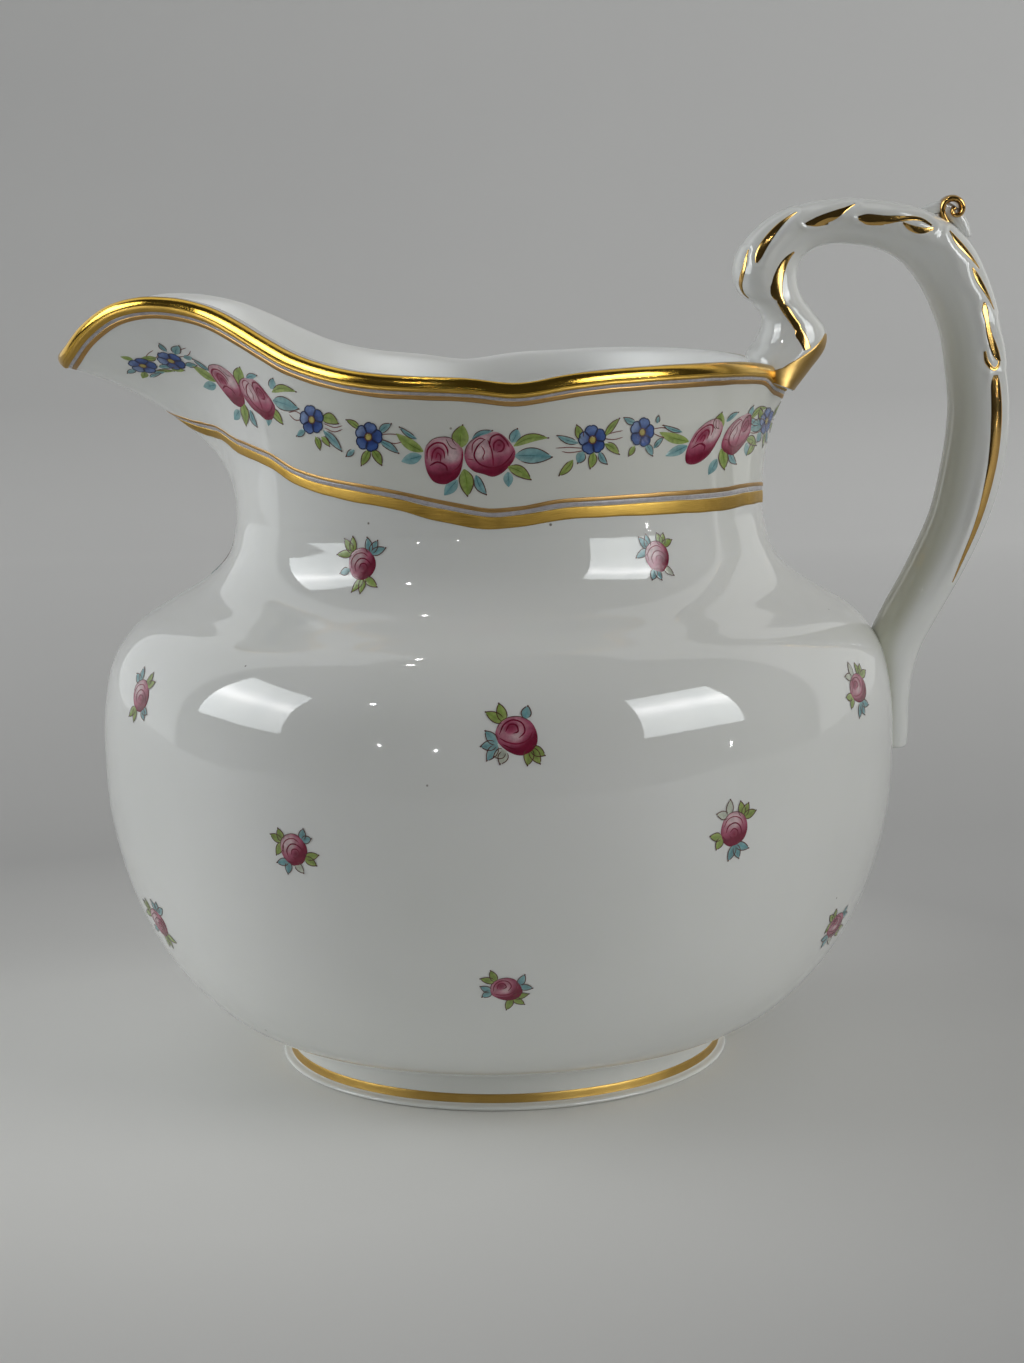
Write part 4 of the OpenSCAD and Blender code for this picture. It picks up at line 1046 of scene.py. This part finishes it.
FLOWER_1 = [((-1.7, -0.3), (-4.1, 0.5), 0.75, "t", 1, 0.1), ((-1.3, 0), (-1.9, 1.7), 0.95, "g", 1, 0),
            ((-1.1, -1.3), (-1.8, -2.5), 1.15, "t", 0.5, 0), ((0.1, -1.4), (-0.2, -3.2), 1, "g", 1, 0.1),
            ((0.8, -1.4), (1.7, -2.9), 0.8, "t", 1, -0.15), ((-2.3, -2.2), (-4, -3.8), 0.85, "g", 1, 0.1),
            ((1.5, 0.3), (3.2, 2.2), 0.75, "g", 1, 0.1), ((1.5, -0.5), (3.2, -1.8), 0.9, "g", 1, 0.15)]
FLOWER_2 = [((-0.9, 1.1), (-2.6, 1.9), 0.75, "t", 1, 0.1), ((2.1, 0.9), (2.4, 1.9), 0.6, "t", 1, 0),
            ((0.5, -1.4), (1.5, -2.7), 0.9, "t", 1, 0.1), ((1.6, -1.9), (3.1, -0.8), 0.65, "t", 1, 0.05),
            ((-1, -1.5), (-1.7, -2.6), 0.7, "g", 1, 0)]
FLOWER_3 = [((1.3, 0.2), (3.6, -0.4), 1.25, "g", 1, 0.3), ((-1, -1.2), (-2.2, -1.9), 0.8, "t", 0.5, 0),
            ((0.4, -1.9), (0.9, -3.4), 0.75, "g", 1, 0.1), ((1.2, -1.9), (2.2, -3), 0.7, "g", 1, 0.1),
            ((1.5, -1.2), (3.8, -3.4), 0.95, "t", 1, 0.1)]
FLOWER_4 = [((-1, 0.9), (-2.7, 2), 0.7, "g", 1, -0.1), ((1.3, 0.5), (2.7, 1.4), 0.85, "t", 1, 0.1),
            ((1.3, -0.4), (3.4, -1.7), 0.8, "t", 1, 0.1), ((0.1, -1.4), (-0.9, -3.2), 0.95, "g", 1, 0),
            ((0.4, -1.4), (1.6, -3.2), 0.95, "g", 1, 0.1), ((-1.8, -1.5), (-2.9, -2.2), 0.7, "t", 1, 0)]
SPOUT_1 = [((-1.4, 0.5), (-2.9, 0.9), 0.8, "t", 1, 0), ((-1.3, -0.6), (-2.9, -0.9), 0.9, "g", 0, 0.1),
           ((0.6, 1.4), (0.4, 2.9), 0.9, "g", 0, 0), ((-1, -1.7), (0.6, -2.6), 0.8, "t", 0.5, 0.1),
           ((0.9, -1.6), (2.2, -2.9), 0.9, "t", 1, 0.1), ((-0.2, -1.6), (1.4, -3.4), 0.7, "g", 0.5, 0),
           ((-2.2, -1.5), (-0.4, -2.3), 0.6, "t", 1, 0.1)]
SPOUT_2 = [((-1, 1.4), (-2.6, 2.4), 1, "g", 0.5, 0.1), ((-1.7, -0.9), (-0.4, -2), 1, "g", 0.5, 0.1),
           ((1.3, 1.2), (2.2, 2.6), 0.7, "t", 1, 0.1), ((1.7, 0.3), (3.6, 0.9), 1.1, "t", 1, 0.1),
           ((0.8, -1.5), (2.2, -2.4), 0.9, "t", 1, 0.1), ((2, -0.6), (3, -1.2), 0.9, "t", 0, 0)]
# stems of the flowers
ST_1 = [[(-1.3, -0.9), (-2.8, -0.75), (-4.3, -0.8)], [(-1.2, -1.2), (-2.6, -1.35), (-3.6, -1.2)],
        [(1.2, 0.4), (2.6, 0.7), (3.8, 0.85)], [(1.3, 0.1), (2.6, -0.1), (3.8, 0.1)]]
ST_2 = [[(1.5, 0.3), (2.9, 0.35), (4, 0.1)], [(1.5, -0.2), (2.9, -0.7), (4, -0.5)]]
ST_3 = [[(-1.3, 0.5), (-2.3, 0.9), (-3.4, 0.7)], [(-1.3, 0), (-2.4, -0.1), (-3.3, 0.5)],
        [(1.6, -0.4), (2.9, -0.8), (4, -0.6)], [(1.7, -0.9), (2.9, -1.3), (4, -1)]]
# pairs of roses: angle and distance below the lip of each, then tilt, size, stretch and lean
ROSE_PAIRS = [(260.5, 9.7, 269.5, 8.7, 0, 1, 1, 0), (319.0, 9.4, 333.0, 9.0, 4, 0.88, 1.64, 0.90),
              (204.8, 9.9, 214.5, 8.6, -8, 0.90, 1.25, -0.80), (18, 9.2, 32, 9.0, 0, 1, 1, 0),
              (79, 9.4, 88.5, 9.0, 0, 1, 1, 0), (141, 9.0, 150.5, 9.6, 0, 1, 1, 0)]
# blue flowers: angle, distance below the lip, leaves, stems, radius, turn, stretch, lean
FLOWERS = [(290, 8.1, FLOWER_1, ST_1, 1.68, 8, 1, 0), (301, 7.8, FLOWER_2, ST_2, 1.68, -14, 1, 0),
           (231.4, 7.25, FLOWER_3, ST_3, 1.68, 8, 1.1, 0), (245, 7.6, FLOWER_4, ST_2, 1.68, -14, 1.05, 0),
           (189.6, 9.2, SPOUT_1, ST_2, 1.68, 8, 0.88, -0.45),
           (194.1, 9.8, SPOUT_2, ST_2, 1.68, -14, 0.86, -0.45),
           (350.5, 7.1, FLOWER_1, ST_1, 1.68, 8, 1.8, 0), (4.5, 7.6, FLOWER_2, ST_2, 1.68, -14, 1, 0),
           (49, 7.8, FLOWER_3, ST_3, 1.68, 8, 1, 0), (61, 7.8, FLOWER_4, ST_2, 1.68, -14, 1, 0),
           (107, 7.8, FLOWER_1, ST_1, 1.68, 8, 1, 0), (119, 7.6, FLOWER_2, ST_2, 1.68, -14, 1, 0),
           (129, 7.6, FLOWER_4, [], 1.68, 8, 1, 0), (168.0, 9.2, FLOWER_2, [], 1.68, -14, 1, 0),
           (173.5, 9.3, [], [], 1.5, 20, 1, 0)]


def lay_leaves(place, leaves, size=1.0):
    """Leaves of the garland, each tip a little off by chance."""
    for base, tip, width, kind, line, bend in leaves:
        shift = RNG.uniform(-0.12, 0.12, 2)
        leaf(place, np.array(base) * size, np.array(tip) * size + shift, width * size, kind, line, bend)


roses, blues, greens, turqs = Paint(), Paint(), Paint(), Paint()
for a1, s1, a2, s2, tilt, size, wide, lean in ROSE_PAIRS:
    lay_leaves(tangent_frame((a1 + a2) / 2, s=(s1 + s2) / 2, tilt=tilt, wide=wide), PAIR, size)
    for a, s, kind, lift in ((a1, s1, ROSE_A, 0.05), (a2, s2, ROSE_B, 0.056)):
        rose(tangent_frame(a, s=s, tilt=tilt, wide=wide, lean=lean), kind, size, RNG.uniform(-6, 6), lift)
for a, s, leaves, stems, r, turn, wide, lean in FLOWERS:
    place = tangent_frame(a, s=s, wide=wide, lean=lean)
    lay_leaves(place, leaves)
    for line in stems:
        ribbon(greens, place, line, 0.11, STEM_BROWN, 0.03, (0.5, 0.3))
    blue_flower(place, r, turn)
roses.build("Garland_roses", ROSE, "rose_enamel")
blues.build("Garland_blue_flowers", BLUE, "blue_enamel")
greens.build("Garland_leaves_green", GREEN, "green_enamel")
turqs.build("Garland_leaves_turquoise", TURQUOISE, "turquoise_enamel")

# ------------------------------------------------------------------ sprigs
# Leaves of a sprig, in clusters at the edge of the rose: kind, where round the rose, the way each leaf
# points, length, and distance from the middle of the rose.
SPRIGS = {
    1: [("g", 135, (128, 95, 185), 1.9, 1.7), ("t", 50, (105, 62, 22), 1.75, 1.6), ("g", 285,
                                                                                    (240, 272, 330), 1.95,
                                                                                    1.5),
        ("t", 205, (200,), 1.2, 1.7)],
    2: [("t", 140, (128, 95, 205), 1.75, 1.5), ("g", 55, (110, 75, 20), 1.5, 1.5), ("t", 250,
                                                                                    (235, 285), 1.5, 1.5),
        ("o", 300, (315,), 1.5, 1.5)],
    3: [("g", 130, (150, 105), 1.75, 1.6), ("t", 60, (75,), 1.1, 1.7), ("t", 205, (130, 185, 235), 1.5, 1.9),
        ("o", 235, (245, 205), 1.2, 1.7), ("g", 318, (260, 330, 300), 1.5, 1.7)],
    4: [("g", 150, (155, 110, 240), 1.6, 1.6), ("t", 45, (78, 15), 1.3, 1.6), ("t", 245,
                                                                               (190, 260), 1.5, 1.6),
        ("o", 275, (310,), 1.4, 1.5), ("g", 330, (12, 330), 1.7, 1.6)],
    5: [("o", 115, (85, 165), 1.6, 1.6), ("g", 45, (100, 62, 15), 1.6, 1.6), ("g", 205,
                                                                              (170, 240), 1.4, 1.7),
        ("t", 275, (245, 290, 340), 1.7, 1.7)],
    6: [("g", 135, (165, 110), 1.75, 1.6), ("t", 15, (65, 350), 1.7, 1.6), ("t", 190, (150, 215), 1.4, 1.7),
        ("g", 300, (250, 325, 15), 1.8, 1.5)],
    7: [("t", 120, (105, 150), 1.7, 1.6), ("g", 55, (80, 30), 1.6, 1.5), ("g", 245, (225, 265), 1.8, 1.6),
        ("t", 300, (300, 340), 1.3, 1.6)],
}
# angle, v, rose, leaves, tilt, size, turn, stretch
SPRIG_PLACES = [(243.5, 0.96, ROSE_C, 1, 0, 0.98, 0, 1), (303.5, 0.96, ROSE_C, 2, 0, 0.95, 0, 1),
                (272.5, 0.64, ROSE_D, 3, 0, 1.18, -15, 1), (242.5, 0.50, ROSE_C, 4, 0, 0.97, 0, 1),
                (302.0, 0.51, ROSE_C, 5, 0, 1.05, -35, 1), (270.5, 0.33, ROSE_D, 6, 0, 0.92, 0, 1),
                (208.0, 0.65, ROSE_C, 7, 0, 1.0, 0, 1.3), (333.0, 0.64, ROSE_D, 5, 0, 1.0, 0, 1.25),
                (204.0, 0.35, ROSE_C, 1, 10, 1.0, 0, 1.4), (334.0, 0.33, ROSE_D, 4, -10, 1.0, 0, 1.3)]
# the side that the photograph doesn't show: angle, v, tilt
FAR_SPRIGS = [(180, 0.50, 0), (149, 0.64, 10), (149, 0.34, -15), (120, 0.50, 0), (90, 0.64, 20),
              (90, 0.34, 5), (60, 0.50, -12), (30, 0.64, 0), (30, 0.34, 12), (120, 0.96, 15),
              (60, 0.96, -15), (180, 0.93, 0)]
SPRIG_PLACES += [(deg, v, (ROSE_C, ROSE_D)[i % 2], 1 + i % 7, tilt, 1.0, 0, 1)
                 for i, (deg, v, tilt) in enumerate(FAR_SPRIGS)]


def on_circle(deg):
    return np.array([math.cos(math.radians(deg)), math.sin(math.radians(deg))])


def cluster(place, size, kind, where, ways, length, radius):
    """Two or three leaves springing from one place at the edge of the rose."""
    base = on_circle(where) * radius * size
    for i, way in enumerate(ways):
        long = length * size * (1.12, 1.03, 1.18)[i % 3]
        leaf(place, base, base + on_circle(way) * long, 0.92 * size, kind, veins=False)


roses, greens, turqs = Paint(), Paint(), Paint()
for deg, v, kind, leaves, tilt, size, turn, wide in SPRIG_PLACES:
    place = tangent_frame(deg, v=v, tilt=tilt, wide=wide)
    for spec in SPRIGS[leaves]:
        cluster(place, size, *spec)
    rose(place, kind, size, turn, darker=0.14)
roses.build("Sprig_roses", ROSE, "rose_enamel")
greens.build("Sprig_leaves_green", GREEN, "green_enamel")
turqs.build("Sprig_leaves_turquoise", TURQUOISE, "turquoise_enamel")

# ------------------------------------------------------------------ floor, backdrop and light
PAPER = 0.70   # grey of the paper
EVEN = 0.18   # strength of the even light
bpy.context.scene.view_settings.view_transform = "Standard"


def paper_material():
    """Matt paper, with light and shade painted into its colour: a painted pool of light on the floor round
    the jug, painted shade on the floor towards the front, and on the wall painted light to the right and
    painted shade higher up.
    """
    m, nt, bs = tree("Backdrop_paper")
    vec = coords(nt)
    x, y, z = split(nt, vec)
    tone = shades(nt, noise(nt, vec, 4, 3), (0.35, (PAPER * 0.985, PAPER * 0.985, PAPER * 0.975)),
                  (0.65, (PAPER * 1.015, PAPER * 1.015, PAPER)))
    # painted shade on the floor towards the front; on the wall, painted light to the right and painted shade
    # higher up
    flat = shades(nt, ranged(nt, y, 0, 1, -0.16, 0.0), (0.0, (0.66, 0.66, 0.665)), (1.0, 0.76))
    wall = shades(nt, ranged(nt, x, 0, 1, -0.25, 0.25), (0.0, 1.0), (1.0, 1.40))
    painted_wall_shade = shades(nt, ranged(nt, z, 0, 1, 0.0, 0.16), (0.0, 1.0), (0.25, 0.84), (1.0, 0.81))
    side = mix(nt, ranged(nt, y, 0, 1, 0.12, 0.55), flat, mix(nt, 1.0, wall, painted_wall_shade, "MULTIPLY"))
    # painted pool of light on the floor round the jug, centred a little to its left
    away = node(nt, "ShaderNodeVectorMath", operation="LENGTH")
    put(nt, away.inputs[0], coords(nt, location=(0.04, 0.015, 0)))
    painted_light_pool = shades(nt, ranged(nt, away.outputs["Value"], 0, 1, 0.0, 0.13),
                  (0.0, (1.66, 1.66, 1.64)), (0.40, (1.56, 1.56, 1.54)), (1.0, 1.0))
    colour = mix(nt, 1.0, tone, mix(nt, 1.0, side, painted_light_pool, "MULTIPLY"), "MULTIPLY")
    put_all(nt, bs, Base_Color=colour, Roughness=0.6, Specular_IOR_Level=0.2,
            Normal=bump(nt, noise(nt, vec, 900, 3), 0.04, 0.0002))
    return m


def stage_grid(name, points, rows, cols, material, wrap=False):
    """Stage piece from a grid of points in metres."""
    verts = np.asarray(points, float) * 1000 - (MID_X, 0, 0)
    ob = mesh_object(name, verts, [grid_faces(rows, cols, wrap)], material)
    return ob


def sweep(start, radius, rise):
    """Outline of a floor that bends up into a wall: distance, height."""
    turn = [k / 16 * math.pi / 2 for k in range(17)]
    bend = [(start + radius * math.sin(t), radius * (1 - math.cos(t))) for t in turn]
    return bend + [(start + radius, rise)]


def make_backdrop(material):
    """The sheet under the jug, which ends a little way in front of it and rises behind it, and a round
    backdrop that only the camera sees, so that every other view has a clean background."""
    line = [(-0.30, 0.0), (0.0, 0.0)] + sweep(0.55, 0.45, 1.6)
    xs = np.linspace(-0.6, 0.6, 9)
    stage_grid("Stage_paper", [(x, y, z) for y, z in line for x in xs], len(line), len(xs), material)
    ring = [(0.02, 0.0)] + sweep(1.0, 0.35, 1.8)
    th = np.radians(np.arange(0, 360, 5))
    points = [(d * math.cos(t), d * math.sin(t), z - 0.0004) for d, z in ring for t in th]
    ob = stage_grid("Stage_surround", points, len(ring), len(th), material, True)
    ob.visible_glossy = ob.visible_diffuse = ob.visible_shadow = ob.visible_transmission = False


def polar(az, el, dist):
    """Place seen from the jug: azimuth from the camera's side towards +X, elevation, metres."""
    a, e = math.radians(az), math.radians(el)
    return (dist * math.sin(a) * math.cos(e), -dist * math.cos(a) * math.cos(e), 0.05 + dist * math.sin(e))


def area(name, where, size, power, colour, gloss_only=False, shape="RECTANGLE"):
    """Lamp turned to the jug, which lights the matt colours or shows only as a glint."""
    data = bpy.data.lights.new(name, "AREA")
    data.shape = shape
    data.size, data.size_y = size
    data.energy = power
    data.color = colour
    ob = bpy.data.objects.new(name, data)
    bpy.context.scene.collection.objects.link(ob)
    ob.location = where
    ob.rotation_euler = (Vector((0, 0, 0.05)) - Vector(where)).to_track_quat("-Z", "Y").to_euler()
    ob.visible_glossy = gloss_only
    ob.visible_diffuse = not gloss_only


def room():
    """Even light for the matt colours; what shines sees a dark room in front and pale paper elsewhere."""
    world = bpy.data.worlds.new("World")
    bpy.context.scene.world = world
    world.use_nodes = True
    nt = world.node_tree

    def maths(op, a, b=None):
        n = node(nt, "ShaderNodeMath", operation=op)
        put(nt, n.inputs[0], a)
        if b is not None:
            put(nt, n.inputs[1], b)
        return n.outputs[0]

    x, y, z = split(nt, node(nt, "ShaderNodeTexCoord").outputs["Generated"])
    level = maths("SQRT", maths("ADD", maths("MULTIPLY", x, x), maths("MULTIPLY", y, y)))
    facing = maths("DIVIDE", maths("MULTIPLY", y, -1.0), maths("MAXIMUM", level, 0.001))
    bright = maths("MULTIPLY", ranged(nt, facing, 1, 0, -0.39, -0.35), ranged(nt, z, 1, 0, 0.935, 0.955))
    wall = mix(nt, ranged(nt, x, 0, 1, -0.15, 0.15), (0.85, 0.88, 0.88), (0.75, 0.76, 0.74))
    shine = node(nt, "ShaderNodeBackground", Color=mix(nt, bright, (0.035, 0.034, 0.030), wall))
    put_all(nt, nt.nodes["Background"], Color=(0.98, 0.99, 1.0), Strength=EVEN)
    choose = node(nt, "ShaderNodeMixShader")
    glossy = node(nt, "ShaderNodeLightPath").outputs["Is Glossy Ray"]
    for i, value in enumerate((glossy, nt.nodes["Background"].outputs[0], shine.outputs[0])):
        put(nt, choose.inputs[i], value)
    put(nt, nt.nodes["World Output"].inputs["Surface"], choose.outputs[0])


def window(name, az, el, size, glow, streak):
    """Bright pane that only reflections see: hazy, with a brighter band across the middle."""
    m, nt, bs = tree(name)
    nt.nodes.remove(bs)
    vec = coords(nt, "Generated")
    pane = shades(nt, split(nt, vec)["Z"], (0.0, (0.42, 0.44, 0.44)), (0.34, (0.58, 0.60, 0.60)),
                  (streak, 1.0), (streak + 0.2, (0.56, 0.58, 0.58)), (1.0, (0.42, 0.44, 0.44)))
    haze = shades(nt, noise(nt, vec, 2.2, 3), (0.3, (0.82, 0.84, 0.86)), (0.7, 1))
    em = node(nt, "ShaderNodeEmission", Color=mix(nt, 1.0, pane, haze, "MULTIPLY"), Strength=glow)
    put(nt, nt.nodes["Material Output"].inputs["Surface"], em.outputs[0])
    centre, side = polar(az, el, 1.0), (math.cos(math.radians(az)), math.sin(math.radians(az)), 0)
    w, h = size
    grid = np.linspace(-0.5, 0.5, 9)
    points = [np.add(centre, np.multiply(side, w * i)) + (0, 0, h * j) for j in grid for i in grid]
    ob = stage_grid(name, points, 9, 9, m)
    ob.visible_camera = ob.visible_diffuse = ob.visible_shadow = False


# lamps that show only as glints: azimuth, elevation, size, power
GLINTS = [(-36, 42, 0.045, 0.7), (-27, 7.7, 0.022, 0.14), (-11, 6, 0.018, 0.09), (67.5, 1.2, 0.024, 0.16),
          (66, -5, 0.018, 0.08), (-110, 78, 0.035, 0.3), (-145, 74, 0.03, 0.2)]
make_backdrop(paper_material())
room()
# soft light on the porcelain and the paper
area("Soft_left", polar(-96, 15, 1.1), (0.9, 0.8), 5.8, (0.97, 0.99, 1.0))
area("Soft_right", polar(64, 24, 1.1), (0.8, 0.8), 4.35, (1.0, 0.995, 0.97))
area("Soft_top", (0, 0.30, 1.3), (1.4, 1.2), 2.0, (1.0, 0.99, 0.97))
window("Stage_window_left", -81, 28.4, (0.61, 0.69), 11.3, 0.50)
window("Stage_window_right", 54.5, 27.4, (0.62, 0.68), 13.4, 0.55)
for i, (az, el, size, power) in enumerate(GLINTS):
    area(f"Glint_{i + 1}", polar(az, el, 1.5), (size, size), power, (1, 1, 1), True, "DISK")
